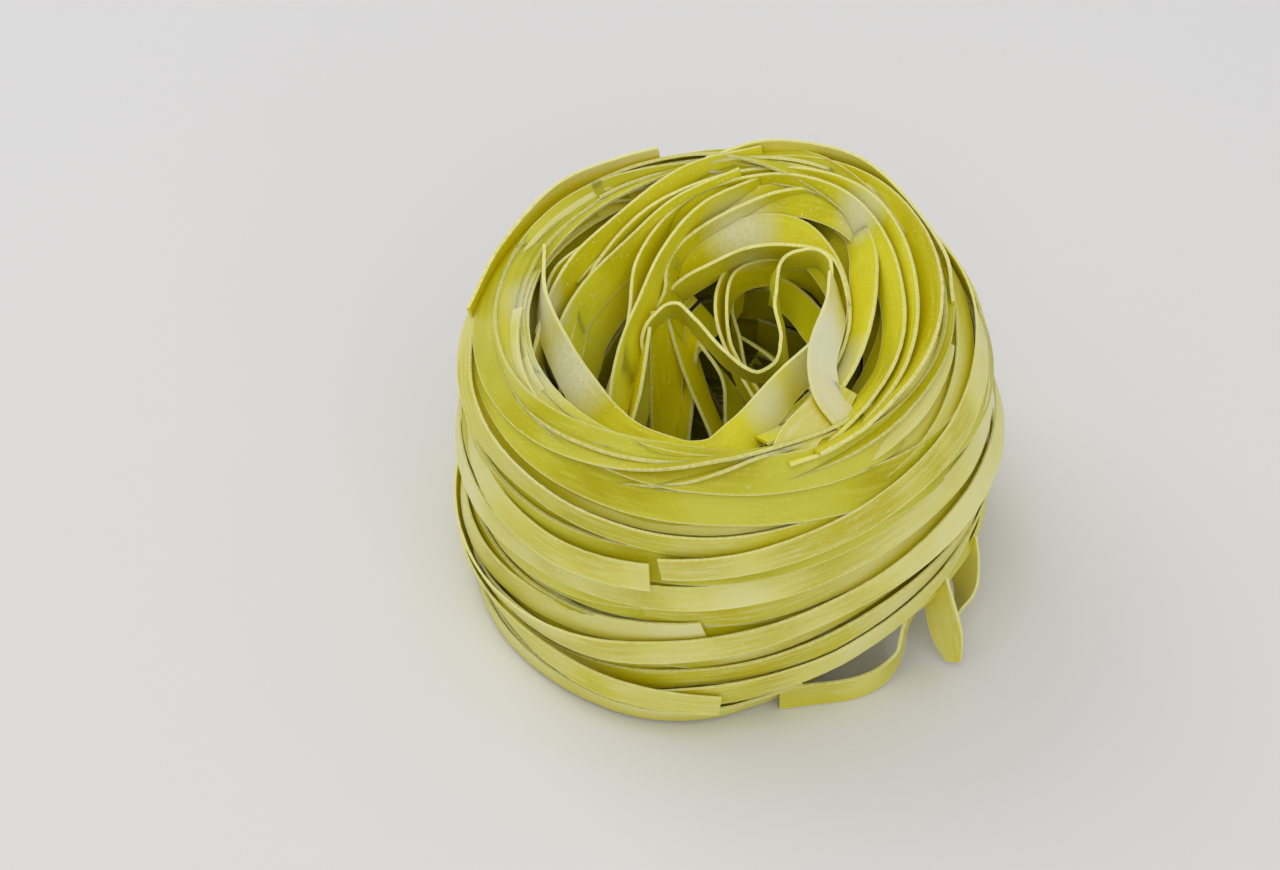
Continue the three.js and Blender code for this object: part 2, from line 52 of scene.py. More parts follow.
# The winding surface, which all the wraps lie on or near: from a round foot it swells to a belly,
# closes to a rim and falls into the mouth. A place on it has an angle and a run, which is the way
# up from the foot, over the rim and in.
BASE_RADIUS = 33.4
BELLY_RADIUS = 35.2
BELLY_HEIGHT = 22.0
RIM_RADIUS = 27.6
RIM_HEIGHT = 45.4
RIM_ROUNDING = 3.0
MOUTH_FALL = 62.0  # degrees below level
EASED_FALL = 30.0  # degrees less where it is gentlest
EASED_AT = (350.0, 110.0)  # angle of the middle, and how far to each side it fades out
FOOT_TUCK = 6.0  # how far the foot is drawn in at the front right
FOOT_TUCK_HEIGHT = 15.0  # where that has faded out
FOOT_TUCK_AT = (325.0, 75.0)
RIM_RISE = 2.0
RIM_RISE_AT = (60.0, 100.0)
RIM_DIP = 1.5
RIM_DIP_AT = (215.0, 90.0)
RIM_CHANGE_HEIGHTS = (25.0, 45.0)  # the rise and the dip grow from nothing to full between these
NEARBY = 0.5  # the direction out is measured between runs this far to each side


def hill(angle, middle, spread):
    """A smooth hill of height 1 at one angle, down to 0 a spread away on each side."""
    away = abs((angle - middle + 180) % 360 - 180) / spread
    return 0.5 + 0.5 * math.cos(math.pi * away) if away < 1 else 0.0


def smooth_step(value, low, high):
    """From 0 at the low value to 1 at the high one, level at both."""
    share = min(max((value - low) / (high - low), 0.0), 1.0)
    return share * share * (3 - 2 * share)


flank = np.linspace(0, 1, 61)
shoulder = np.linspace(0, math.pi / 2, 121)[1:]
outline_radius = np.concatenate([
    BASE_RADIUS + (BELLY_RADIUS - BASE_RADIUS) * np.sin(flank * math.pi / 2),
    RIM_RADIUS + (BELLY_RADIUS - RIM_RADIUS) * np.cos(shoulder),
])
outline_height = np.concatenate([
    BELLY_HEIGHT * flank,
    BELLY_HEIGHT + (RIM_HEIGHT - BELLY_HEIGHT) * np.sin(shoulder),
])
outline_steps = np.hypot(np.diff(outline_radius), np.diff(outline_height))
outline_run = np.concatenate([[0], np.cumsum(outline_steps)])
RIM_RUN = outline_run[-1]


def winding_surface(angle, run):
    """The place on the winding surface at an angle and a run."""
    if run <= RIM_RUN:
        radius = float(np.interp(run, outline_run, outline_radius))
        height = float(np.interp(run, outline_run, outline_height))
    else:
        fall = math.radians(MOUTH_FALL - EASED_FALL * hill(angle, *EASED_AT))
        turn = min((run - RIM_RUN) / RIM_ROUNDING, fall)
        straight = run - RIM_RUN - turn * RIM_ROUNDING
        radius = RIM_RADIUS - RIM_ROUNDING * math.sin(turn) - straight * math.cos(fall)
        height = RIM_HEIGHT - RIM_ROUNDING * (1 - math.cos(turn)) - straight * math.sin(fall)
    tuck = FOOT_TUCK * hill(angle, *FOOT_TUCK_AT)
    radius -= tuck * max(0.0, 1 - height / FOOT_TUCK_HEIGHT) ** 2
    rise = RIM_RISE * hill(angle, *RIM_RISE_AT) - RIM_DIP * hill(angle, *RIM_DIP_AT)
    height += rise * smooth_step(height, *RIM_CHANGE_HEIGHTS)
    around = math.radians(angle)
    return np.array([radius * math.cos(around), radius * math.sin(around), height])


def winding_frame(angle, run):
    """That place and the direction straight out of it."""
    beyond = winding_surface(angle, run + NEARBY)
    before = winding_surface(angle, max(run - NEARBY, 0))
    around = math.radians(angle)
    out = np.cross([-math.sin(around), math.cos(around), 0], beyond - before)
    return winding_surface(angle, run), out / np.linalg.norm(out)


def new_object(name, points, faces, edges=()):
    """An object of the given faces, or only edges, with its points in metres."""
    mesh = bpy.data.meshes.new(name)
    mesh.from_pydata(points, edges, faces)
    made = bpy.data.objects.new(name, mesh)
    bpy.context.scene.collection.objects.link(made)
    return made


def connect(tree, node, inputs):
    """Sets a node's inputs, named or numbered, or links them where an output is given."""
    for key, given in inputs.items():
        if isinstance(given, bpy.types.NodeSocket):
            tree.links.new(given, node.inputs[key])
        else:
            node.inputs[key].default_value = given


def add_node(tree, kind, inputs=None, **settings):
    """A new node with its settings made and its inputs set or linked."""
    node = tree.nodes.new(kind)
    for name, value in settings.items():
        setattr(node, name, value)
    connect(tree, node, inputs or {})
    return node


def noise(tree, vector, scale, detail=2.0):
    """A cloudy pattern of values about 0.5."""
    inputs = {"Vector": vector, "Scale": scale, "Detail": detail}
    return add_node(tree, "ShaderNodeTexNoise", inputs).outputs["Fac"]


def new_material(name):
    """A new material, its node tree and its shader."""
    material = bpy.data.materials.new(name)
    material.use_nodes = True
    return material, material.node_tree, material.node_tree.nodes["Principled BSDF"]


HEART_COLUMNS = 72
HEART_INSET = 3.0  # how far it stays inside the winding surface
HEART_RUNS = [1.5, 6, 12, 18, 24, 30, 35]
HEART_HOLLOW = [  # height, radius, x and y of the middle
    (35, 23.5, -2, 0),
    (27, 20.5, -3, -1),
    (17, 16, 0, 1),
    (11, 11, 1, 2),
]
HEART_LUMPS = [(0.5, 3, 1), (0.3, 7, -1)]  # size, how many round the hollow, twist with height
# Painted shade: the heart's dough is dark, in patches of two tones.
HEART_SHADE_DARK = (0.10, 0.07, 0.004, 1)
HEART_SHADE_LIGHT = (0.22, 0.18, 0.015, 1)
HEART_PATCHES = 260  # to the metre

heart_points = []
for run in HEART_RUNS:
    for column in range(HEART_COLUMNS):
        place, out = winding_frame(360 * column / HEART_COLUMNS, run)
        heart_points.append(place - out * HEART_INSET)
for height, radius, x, y in HEART_HOLLOW:
    for column in range(HEART_COLUMNS):
        around = 2 * math.pi * column / HEART_COLUMNS
        reach = radius
        for size, count, twist in HEART_LUMPS:
            reach += size * math.sin(count * around + twist * height)
        place = (x + reach * math.cos(around), y + reach * math.sin(around), height)
        heart_points.append(np.array(place))
heart_rows = len(HEART_RUNS) + len(HEART_HOLLOW)
heart_faces = []
for row in range(heart_rows - 1):
    here, above = row * HEART_COLUMNS, (row + 1) * HEART_COLUMNS
    for column in range(HEART_COLUMNS):
        following = (column + 1) % HEART_COLUMNS
        heart_faces.append((here + column, here + following, above + following, above + column))
heart_faces.append(tuple(reversed(range(HEART_COLUMNS))))
last_row = (heart_rows - 1) * HEART_COLUMNS
heart_faces.append(tuple(last_row + column for column in range(HEART_COLUMNS)))
heart_points = [tuple(point * MM) for point in heart_points]
packed_heart = new_object("packed_heart", heart_points, heart_faces)

heart_dough, heart_tree, heart_shader = new_material("packed_dough_painted_shade")
heart_place = add_node(heart_tree, "ShaderNodeTexCoord").outputs["Object"]
heart_patches = noise(heart_tree, heart_place, HEART_PATCHES)
heart_tones = add_node(heart_tree, "ShaderNodeValToRGB", {"Fac": heart_patches})
heart_tones.color_ramp.elements[0].color = HEART_SHADE_DARK
heart_tones.color_ramp.elements[1].color = HEART_SHADE_LIGHT
connect(heart_tree, heart_shader, {
    "Base Color": heart_tones.outputs["Color"],
    "Roughness": 0.9,
    "Specular IOR Level": 0.05,
})
packed_heart.data.materials.append(heart_dough)
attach(packed_heart, "root")
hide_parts("pasta_nest")

# --- The innermost wraps ------------------------------------------------------------------------
# The ribbon is wound round and round while it is soft, so each wrap lies on earlier ones. These
# are the earliest that show, deep in the gaps. They are three layers of plain durum dough, like
# every ribbon here: rolled flat, cut to one width and dried as it was laid.
RIBBON_WIDTH = 4.8
RIBBON_THICKNESS = 0.46

# The dough is a clear greenish yellow that lets light through. Its rolled faces are faintly satin
# with tiny pale grains, and its cut edges are rough and whitish.
DOUGH = (0.68, 0.64, 0.055)
DOUGH_PALE = (0.83, 0.80, 0.36)
DOUGH_DEEP = (0.54, 0.475, 0.004)
# Painted shade, for where other ribbons lie close over the dough.
DOUGH_PAINTED_SHADE = (0.70, 0.62, 0.0005)  # where other ribbons lie close over it
CUT_EDGE = (0.88, 0.86, 0.38)
GRAIN = (0.94, 0.94, 0.74)
# Flour, and painted highlights, lie in a few pale spots.
FLOUR_AND_HIGHLIGHT = (0.84, 0.85, 0.66)
FLOUR_AND_HIGHLIGHT_SPOTS = [  # where, and how far it reaches
    ((3.5, 18.5, 40.5), 6),
    ((18.5, 15, 46), 5),
    ((12, -10, 44), 7),
    ((5.5, -17.5, 43), 5),
    ((-20, -8, 42), 9),
    ((-23.5, 3, 43), 6),
]
FLOUR_AND_HIGHLIGHT_FULL = 0.3  # share of that reach within which it is thickest
MOST_RED = 0.9  # no dough sends back more of a colour than this
MOST_GREEN = 0.88
PALE_EDGE = 0.2  # how far in from its edges a ribbon is whitish
STRAND_SHIFT = 40  # how far apart the patterns of two ribbons may lie
PATCHES = 0.055  # to the millimetre, as are the next two
STREAKS = 1.6
GRAINS = 2.6
STREAK_SHAPE = (0.12, 1.0, 1.0)  # the rollers draw them out along the ribbon
CRUMB = 1900  # to the metre
CRUMB_DEPTH = 0.05
# How far the painted shade looks for ribbons over the dough, and with how many rays.
PAINTED_SHADE_REACH = 6
PAINTED_SHADE_SAMPLES = 6
LIGHT_REACH = (1.0, 0.92, 0.5)  # how far red, green and blue travel in the dough, relative
LIGHT_REACH_SCALE = 0.5

# How a pattern shows: between its first two values it goes from the third number to the fourth.
PLAIN_STRANDS = (0, 0.5, 0.0, 1.0)
PALE_STRANDS = (0.4, 1, 0.0, 0.5)
PALE_PATCHES = (0.48, 0.66, 0.0, 0.5)
DEEP_PATCHES = (0.48, 0.34, 0.0, 0.75)
PALE_STREAKS = (0.45, 0.75, 0.0, 0.45)
GRAIN_SIZES = (0.66, 0.75)
# The painted shade, from a covered spot to an open one.
PAINTED_SHADE_BY_OPENNESS = (0.25, 0.85, 1.0, 0.0)
FLOUR_AND_HIGHLIGHT_ON_CRUMB = (0.35, 0.6, 0.55, 0.8)
WEAR_ON_CRUMB = (0.36, 0.6, 0.5, 1.0)
FACE_ROUGHNESS = (0.3, 0.7, 0.32, 0.46)
EDGE_ROUGHNESS = (0, 1, 0.0, 0.35)


def math_node(tree, operation, *values):
    """A calculation with one or two values or outputs."""
    return add_node(tree, "ShaderNodeMath", dict(enumerate(values)), operation=operation).outputs[0]


def mixed(tree, factor, first, second):
    """A colour between two others."""
    inputs = {"Factor": factor, 6: first, 7: second}
    return add_node(tree, "ShaderNodeMix", inputs, data_type="RGBA").outputs[2]


def ranged(tree, value, low, high, to_low=0.0, to_high=1.0):
    """A value stretched, and held, so that low and high become the two other numbers."""
    node = add_node(tree, "ShaderNodeMapRange", {"Value": value})
    connect(tree, node, {"From Min": low, "From Max": high, "To Min": to_low, "To Max": to_high})
    return node.outputs["Result"]


def measured(tree, name):
    """What a ribbon's own mesh holds under a name."""
    return add_node(tree, "ShaderNodeAttribute", attribute_name=name).outputs["Fac"]


def dried(name, light, bloom_and_painted_light, speckle):
    """The dough as a material: how light it is, how pale it is and how many grains it has.

    The lightness and paleness, set for each kind of ribbon, are partly its own tone and partly
    painted light and shade.
    """
    def tone(colour):
        red, green, blue = colour
        return (min(red * light, MOST_RED), min(green * light, MOST_GREEN), blue * light * bloom_and_painted_light, 1)

    def dry(colour):
        return tuple(channel * min(light, 1.0) for channel in colour) + (1,)

    material, tree, shader = new_material(name)
    place = add_node(tree, "ShaderNodeTexCoord").outputs["Object"]
    along = measured(tree, "along")  # millimetres from the ribbon's start
    aside = measured(tree, "aside")  # and from its middle line, as if at full width
    strand = measured(tree, "strand")  # another number for each ribbon
    shift = math_node(tree, "MULTIPLY", strand, STRAND_SHIFT)
    flat = add_node(tree, "ShaderNodeCombineXYZ", {"X": along, "Y": aside, "Z": shift}).outputs[0]
    rolled = add_node(tree, "ShaderNodeMapping", {"Vector": flat, "Scale": STREAK_SHAPE}).outputs[0]
    patches = noise(tree, flat, PATCHES)
    streaks = noise(tree, rolled, STREAKS)
    grains = noise(tree, flat, GRAINS, 1.0)
    crumb = noise(tree, place, CRUMB, 3.0)

    # Ribbons and stretches of them dry to different tones, with streaks and grains on top.
    colour = mixed(tree, ranged(tree, strand, *PLAIN_STRANDS), tone(DOUGH_DEEP), tone(DOUGH))
    pale_strands = ranged(tree, strand, *PALE_STRANDS)
    paler = math_node(tree, "ADD", pale_strands, ranged(tree, patches, *PALE_PATCHES))
    colour = mixed(tree, paler, colour, tone(DOUGH_PALE))
    colour = mixed(tree, ranged(tree, patches, *DEEP_PATCHES), colour, tone(DOUGH_DEEP))
    colour = mixed(tree, ranged(tree, streaks, *PALE_STREAKS), colour, tone(DOUGH_PALE))
    colour = mixed(tree, ranged(tree, grains, *GRAIN_SIZES, 0.0, speckle), colour, dry(GRAIN))

    # Close under other ribbons the dough turns a deeper, darker yellow: painted shade, by how open
    # the spot is.
    openness = add_node(tree, "ShaderNodeAmbientOcclusion", {"Distance": PAINTED_SHADE_REACH * MM},
                        samples=PAINTED_SHADE_SAMPLES)
    painted_shade = ranged(tree, openness.outputs["AO"], *PAINTED_SHADE_BY_OPENNESS)
    colour = mixed(tree, painted_shade, colour, tone(DOUGH_PAINTED_SHADE))

    # Flour from the drying cup clings in a few spots, which also serve as painted highlights.
    for spot, reach in FLOUR_AND_HIGHLIGHT_SPOTS:
        middle = tuple(value * MM for value in spot)
        away = add_node(tree, "ShaderNodeVectorMath", {0: place, 1: middle}, operation="DISTANCE")
        near = ranged(tree, away.outputs["Value"], reach * MM, FLOUR_AND_HIGHLIGHT_FULL * reach * MM)
        dusted_and_highlit = math_node(tree, "MULTIPLY", near, ranged(tree, crumb, *FLOUR_AND_HIGHLIGHT_ON_CRUMB))
        colour = mixed(tree, dusted_and_highlit, colour, dry(FLOUR_AND_HIGHLIGHT))

    # The cut edges are torn open and whitish.
    from_middle = math_node(tree, "ABSOLUTE", aside)
    half_width = RIBBON_WIDTH / 2
    cut = ranged(tree, from_middle, half_width - PALE_EDGE, half_width - PALE_EDGE / 3)
    worn = math_node(tree, "MULTIPLY", cut, ranged(tree, crumb, *WEAR_ON_CRUMB))
    colour = mixed(tree, worn, colour, dry(CUT_EDGE))

    face_roughness = ranged(tree, streaks, *FACE_ROUGHNESS)
    roughness = math_node(tree, "ADD", face_roughness, ranged(tree, cut, *EDGE_ROUGHNESS))
    inputs = {"Strength": 0.5, "Distance": CRUMB_DEPTH * MM, "Height": crumb}
    relief = add_node(tree, "ShaderNodeBump", inputs)
    connect(tree, shader, {
        "Base Color": colour,
        "Roughness": roughness,
        "Normal": relief.outputs["Normal"],
        "IOR": 1.5,
        "Specular IOR Level": 0.2,
        "Subsurface Weight": 0.5,
        "Subsurface Radius": LIGHT_REACH,
        "Subsurface Scale": LIGHT_REACH_SCALE * MM,
    })
    return material


# The sweep draws ribbons along their routes. A route is a chain of stations, each with the
# direction across the ribbon; the ribbon's section, a flat oblong, is carried along it.
SECTION_EDGE = 0.495  # share of the width from the middle beyond which a point is on a cut edge
EDGE_WEAR = 0.05  # how far the cut edges are nibbled
WEAR_WAVES = 900  # to the metre
SWAY = 0.28  # how far a ribbon wanders off its route
SWAY_WAVES = 70  # to the metre
SHARP_CORNER = math.radians(40)


def stored(tree, name, kind="FLOAT"):
    """What a route or a ribbon holds under a name."""
    node = add_node(tree, "GeometryNodeInputNamedAttribute", {"Name": name}, data_type=kind)
    return node.outputs["Attribute"]


def keeping(tree, geometry, name, value):
    """The geometry with a value kept on its points under a name."""
    inputs = {"Geometry": geometry, "Name": name, "Value": value}
    settings = {"data_type": "FLOAT", "domain": "POINT"}
    return add_node(tree, "GeometryNodeStoreNamedAttribute", inputs, **settings).outputs[0]


def wandering(tree, geometry, waves, amount, seed):
    """The geometry moved by up to an amount each way, changing smoothly from place to place."""
    position = add_node(tree, "GeometryNodeInputPosition").outputs[0]
    inputs = {"Vector": position, "W": seed, "Scale": waves, "Detail": 1.0}
    wave = add_node(tree, "ShaderNodeTexNoise", inputs, noise_dimensions="4D").outputs["Color"]
    inputs = {0: wave, 1: (0.5, 0.5, 0.5)}
    centred = add_node(tree, "ShaderNodeVectorMath", inputs, operation="SUBTRACT").outputs[0]
    inputs = {0: centred, "Scale": math_node(tree, "MULTIPLY", amount, 2.0)}
    offset = add_node(tree, "ShaderNodeVectorMath", inputs, operation="SCALE").outputs[0]
    inputs = {"Geometry": geometry, "Offset": offset}
    return add_node(tree, "GeometryNodeSetPosition", inputs).outputs[0]


def ribbon_sweep():
    """The node tree that turns routes into ribbons."""
    tree = bpy.data.node_groups.new("ribbon_along_route", "GeometryNodeTree")
    for name, kind in (
        ("Routes", "NodeSocketGeometry"),
        ("Width", "NodeSocketFloat"),
        ("Thickness", "NodeSocketFloat"),
        ("Steps", "NodeSocketInt"),
        ("Cuts", "NodeSocketInt"),
        ("Wear", "NodeSocketFloat"),
        ("Sway", "NodeSocketFloat"),
        ("Seed", "NodeSocketFloat"),
        ("Dough", "NodeSocketMaterial"),
    ):
        tree.interface.new_socket(name, in_out="INPUT", socket_type=kind)
    tree.interface.new_socket("Ribbons", in_out="OUTPUT", socket_type="NodeSocketGeometry")
    given = tree.nodes.new("NodeGroupInput").outputs

    def through(kind, inputs, **settings):
        return add_node(tree, kind, inputs, **settings).outputs[0]

    # The route, smoothed, with the distance from its start and the direction across.
    run = add_node(tree, "GeometryNodeSplineParameter").outputs["Length"]
    route = through("GeometryNodeMeshToCurve", {"Mesh": given["Routes"]})
    route = keeping(tree, route, "along", math_node(tree, "DIVIDE", run, MM))
    route = through("GeometryNodeCurveSplineType", {"Curve": route}, spline_type="CATMULL_ROM")
    inputs = {"Geometry": route, "Resolution": given["Steps"]}
    route = through("GeometryNodeSetSplineResolution", inputs)
    across = stored(tree, "across", "FLOAT_VECTOR")
    route = through("GeometryNodeSetCurveNormal", {"Curve": route, "Normal": across}, mode="FREE")

    # The section, with the distance from its middle and a mark on its two cut edges.
    inputs = {"Width": given["Width"], "Height": given["Thickness"]}
    section = through("GeometryNodeCurvePrimitiveQuadrilateral", inputs, mode="RECTANGLE")
    section = through("GeometryNodeSubdivideCurve", {"Curve": section, "Cuts": given["Cuts"]})
    position = add_node(tree, "GeometryNodeInputPosition").outputs[0]
    aside = add_node(tree, "ShaderNodeSeparateXYZ", {"Vector": position}).outputs["X"]
    section = keeping(tree, section, "aside", math_node(tree, "DIVIDE", aside, MM))
    edge_start = math_node(tree, "MULTIPLY", given["Width"], SECTION_EDGE)
    at_edge = math_node(tree, "GREATER_THAN", math_node(tree, "ABSOLUTE", aside), edge_start)
    section = keeping(tree, section, "cut", at_edge)

    # The ribbon: swept, swayed, and worn along its cut edges.
    ribbon = through("GeometryNodeCurveToMesh", {
        "Curve": route,
        "Profile Curve": section,
        "Scale": stored(tree, "size"),
        "Fill Caps": True,
    })
    ribbon = wandering(tree, ribbon, SWAY_WAVES, given["Sway"], given["Seed"])
    wear = math_node(tree, "MULTIPLY", given["Wear"], stored(tree, "cut"))
    ribbon = wandering(tree, ribbon, WEAR_WAVES, wear, given["Seed"])
    corner = add_node(tree, "GeometryNodeInputMeshEdgeAngle").outputs["Unsigned Angle"]
    smooth = math_node(tree, "LESS_THAN", corner, SHARP_CORNER)
    inputs = {"Geometry": ribbon, "Shade Smooth": smooth}
    ribbon = through("GeometryNodeSetShadeSmooth", inputs, domain="EDGE")
    ribbon = through("GeometryNodeRealizeInstances", {"Geometry": ribbon})
    ribbon = through("GeometryNodeSetMaterial", {"Geometry": ribbon, "Material": given["Dough"]})
    connect(tree, tree.nodes.new("NodeGroupOutput"), {"Ribbons": ribbon})
    return tree


TORN_END = (0.9, 0.7, 0.4)  # share of the width at the last stations of a torn ribbon
sweep_tree = ribbon_sweep()


def ribbons(name, routes, dough, steps, cuts, seed, sizes=(0.95, 1.04), torn=(), drawn=1):
    """Makes one piece of all the ribbons of a kind, from their middles and directions across.

    Steps is how finely a stretch between two stations is divided, and cuts how finely a side of
    the section is. The widths are drawn between the two sizes, as shares of the full width, and
    torn lists the routes that end in a torn tip. Seed picks the sway, and drawn the widths.
    """
    draw = random.Random(f"{name} {drawn}")
    middles = np.concatenate([route[0] for route in routes]) * MM
    acrosses = np.concatenate([route[1] for route in routes])
    edges, widths, strands = [], [], []
    for index, (stations, _) in enumerate(routes):
        first = len(widths)
        count = len(stations)
        edges += [(first + i, first + i + 1) for i in range(count - 1)]
        widths += [draw.uniform(*sizes)] * count
        if index in torn:
            widths[-len(TORN_END):] = [widths[-1] * share for share in TORN_END]
        strands += [draw.random()] * count
    piece = new_object(name, [tuple(point) for point in middles], [], edges)
    drawn_routes = piece.data
    kept = drawn_routes.attributes
    kept.new("across", "FLOAT_VECTOR", "POINT").data.foreach_set("vector", acrosses.ravel())
    kept.new("size", "FLOAT", "POINT").data.foreach_set("value", widths)
    kept.new("strand", "FLOAT", "POINT").data.foreach_set("value", strands)
    sweep = piece.modifiers.new("sweep", "NODES")
    sweep.node_group = sweep_tree
    values = {
        "Width": RIBBON_WIDTH * MM,
        "Thickness": RIBBON_THICKNESS * MM,
        "Steps": steps,
        "Cuts": cuts,
        "Wear": EDGE_WEAR * MM,
        "Sway": SWAY * MM,
        "Seed": seed,
        "Dough": dough,
    }
    for item in sweep_tree.interface.items_tree:
        if item.name in values:
            sweep[item.identifier] = values[item.name]
    swept = piece.evaluated_get(bpy.context.evaluated_depsgraph_get())
    finished = bpy.data.meshes.new_from_object(swept)
    piece.modifiers.clear()
    piece.data = finished
    bpy.data.meshes.remove(drawn_routes)
    finished.name = name
    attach(piece, "root")
    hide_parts("pasta_nest")


# The winding lays wrap after wrap on a pile, which keeps how high it stands off the surface.
PILE_ANGLE = 3.0  # degrees between two columns of the pile
PILE_RUN = 0.4  # and the run between two cells of a column
MOUTH_WIDTH = 18.0  # how far past the rim the pile goes
PRESSED_IN = 0.04  # how far a ribbon sinks into those beneath
STEEPEST = 0.3  # how much a ribbon may lean against the surface
STIFF_STATIONS = 2  # a ribbon bridges dips that reach less than this far to each side
SMOOTHED_STATIONS = 3
SMOOTHINGS = 3
LOWEST_RUN = 0.53  # share of the width; lower than this a ribbon would reach below the foot
RIPPLES = 3  # in a turn, as are the two numbers of lifts
LOWER_LIFT = 0.5  # half of how far a loose lower edge lifts off
LOWER_LIFTS = 2.3
UPPER_LIFT = 0.35
UPPER_LIFTS = 1.7


def squared(middles, acrosses):
    """The directions across a ribbon made square to the way it runs."""
    along = np.gradient(middles, axis=0)
    along /= np.linalg.norm(along, axis=1, keepdims=True)
    acrosses = acrosses - np.sum(acrosses * along, axis=1, keepdims=True) * along
    return acrosses / np.linalg.norm(acrosses, axis=1, keepdims=True)


def neighbours(values, reach):
    """The values shifted by each step up to a reach, before and after, one row to a shift."""
    padded = np.pad(values, reach, mode="edge")
    return np.array([padded[shift:shift + len(values)] for shift in range(2 * reach + 1)])


class Pile:
    """How high the ribbons already laid stand off the winding surface, over angle and run."""

    def __init__(self, start):
        cells = math.ceil((RIM_RUN + MOUTH_WIDTH) / PILE_RUN)
        self.columns = np.full((int(360 / PILE_ANGLE), cells), start)

    def column(self, angle):
        """The heights of the pile at an angle, from the foot up."""
        return self.columns[round(angle / PILE_ANGLE) % len(self.columns)]

    def cells(self, run):
        """The cells of a column that a ribbon at a run covers."""
        first = max(math.ceil((run - RIBBON_WIDTH / 2) / PILE_RUN), 0)
        last = min(math.floor((run + RIBBON_WIDTH / 2) / PILE_RUN), self.columns.shape[1] - 1)
        return np.arange(first, last + 1)

    def resting_edges(self, angle, run):
        """Heights of the two edges of a ribbon held up by a spot on each side of its middle."""
        cells = self.cells(run)
        heights = self.column(angle)[cells]
        spots = [(cell * PILE_RUN - run, height) for cell, height in zip(cells, heights)]
        hull = []
        for spot in spots:
            while len(hull) > 1:
                (x0, h0), (x1, h1) = hull[-2:]
                if (x1 - x0) * (spot[1] - h0) - (h1 - h0) * (spot[0] - x0) < 0:
                    break
                hull.pop()
            hull.append(spot)
        after = next((i for i, spot in enumerate(hull) if spot[0] > 0), len(hull) - 1)
        (x0, h0), (x1, h1) = hull[max(after - 1, 0)], hull[max(after, 1)]
        slope = min(max((h1 - h0) / (x1 - x0), -STEEPEST), STEEPEST)
        middle = max(height - slope * across for across, height in spots)
        return middle - slope * RIBBON_WIDTH / 2, middle + slope * RIBBON_WIDTH / 2

    def lay(self, angles, runs, slack):
        """Lays a ribbon on the pile and gives its route. Slack is how far each edge stands off."""
        edges = np.array([self.resting_edges(angle, run) for angle, run in zip(angles, runs)])
        for side in range(2):
            raised = neighbours(edges[:, side], STIFF_STATIONS).max(axis=0)
            for _ in range(SMOOTHINGS):
                raised = neighbours(raised, SMOOTHED_STATIONS).mean(axis=0)
            edges[:, side] = raised + slack[side]
        lift = RIBBON_THICKNESS / 2 - PRESSED_IN
        middles, acrosses = [], []
        for (low_height, high_height), angle, run in zip(edges, angles, runs):
            low, low_out = winding_frame(angle, run - RIBBON_WIDTH / 2)
            high, high_out = winding_frame(angle, run + RIBBON_WIDTH / 2)
            low = low + low_out * (low_height + lift)
            high = high + high_out * (high_height + lift)
            middles.append((low + high) / 2)
            acrosses.append(high - low)
            cells = self.cells(run)
            share = (cells * PILE_RUN - run) / RIBBON_WIDTH + 0.5
            top = low_height + (high_height - low_height) * share + RIBBON_THICKNESS - PRESSED_IN
            column = self.column(angle)
            column[cells] = np.maximum(column[cells], top)
        return np.array(middles), squared(np.array(middles), np.array(acrosses))


def wound(pile, front, tilt, dish, start, sweep, ripple, phase, loose):
    """The route of a wrap laid on a pile, from a start round through a sweep of degrees.

    Front is its height at the front. The tilt lifts it at the right and lowers it at the left, the
    dish lifts it at the back, and it ripples on the way. A loose wrap stands off the ones beneath
    in places, its lower and its upper edge each in its own.
    """
    angles = start + PILE_ANGLE * np.arange(round(sweep / PILE_ANGLE) + 1)
    turn = np.radians(angles - 270)
    if front < RIM_HEIGHT:
        middle = float(np.interp(front, outline_height, outline_run))
    else:
        middle = RIM_RUN + front - RIM_HEIGHT
    runs = middle + tilt * np.sin(turn) + dish * (1 - np.cos(turn))
    runs += ripple * np.sin(RIPPLES * turn + phase)
    runs = np.clip(runs, RIBBON_WIDTH * LOWEST_RUN, RIM_RUN + MOUTH_WIDTH - RIBBON_WIDTH)
    lower = loose * (LOWER_LIFT + LOWER_LIFT * np.sin(LOWER_LIFTS * turn + phase))
    upper = loose * (UPPER_LIFT + UPPER_LIFT * np.sin(UPPER_LIFTS * turn + 2 * phase))
    return pile.lay(angles, runs, (lower, upper))


ANY_PHASE = (0, 6.28)  # radians
BACK_START = (20, 150)  # degrees round the nest, so that both ends of a wrap lie at the back
BACK_END = (390, 500)
COVERED_LOOSE = 0.3


def covered_wrap(pile, front, draw, tilts, dishes, ripples):
    """The route of a wrap that others cover, with its tilt, dish and ripple drawn from ranges."""
    start = draw.uniform(*BACK_START)
    sweep = draw.uniform(*BACK_END) - start
    tilt = draw.uniform(*tilts)
    dish = draw.uniform(*dishes)
    ripple = draw.uniform(*ripples)
    phase = draw.uniform(*ANY_PHASE)
    return wound(pile, front, tilt, dish, start, sweep, ripple, phase, COVERED_LOOSE)


INNER_LAYERS = 3
INNER_STEP = 4.1  # between two wraps of a layer, more or less
INNER_UNEVEN = (0.85, 1.15)
INNER_DEPTH = -2.9  # where the first layer lies, from the winding surface
INNER_LAYER_HEIGHT = 0.85
INNER_PAST_RIM = 9  # how far into the mouth the first layer goes
INNER_LESS_PAST_RIM = 3  # and how much less each layer after it
INNER_TILT = (-3, 8)
INNER_DISH = (-2.5, 3)
INNER_RIPPLE = (0, 0.6)
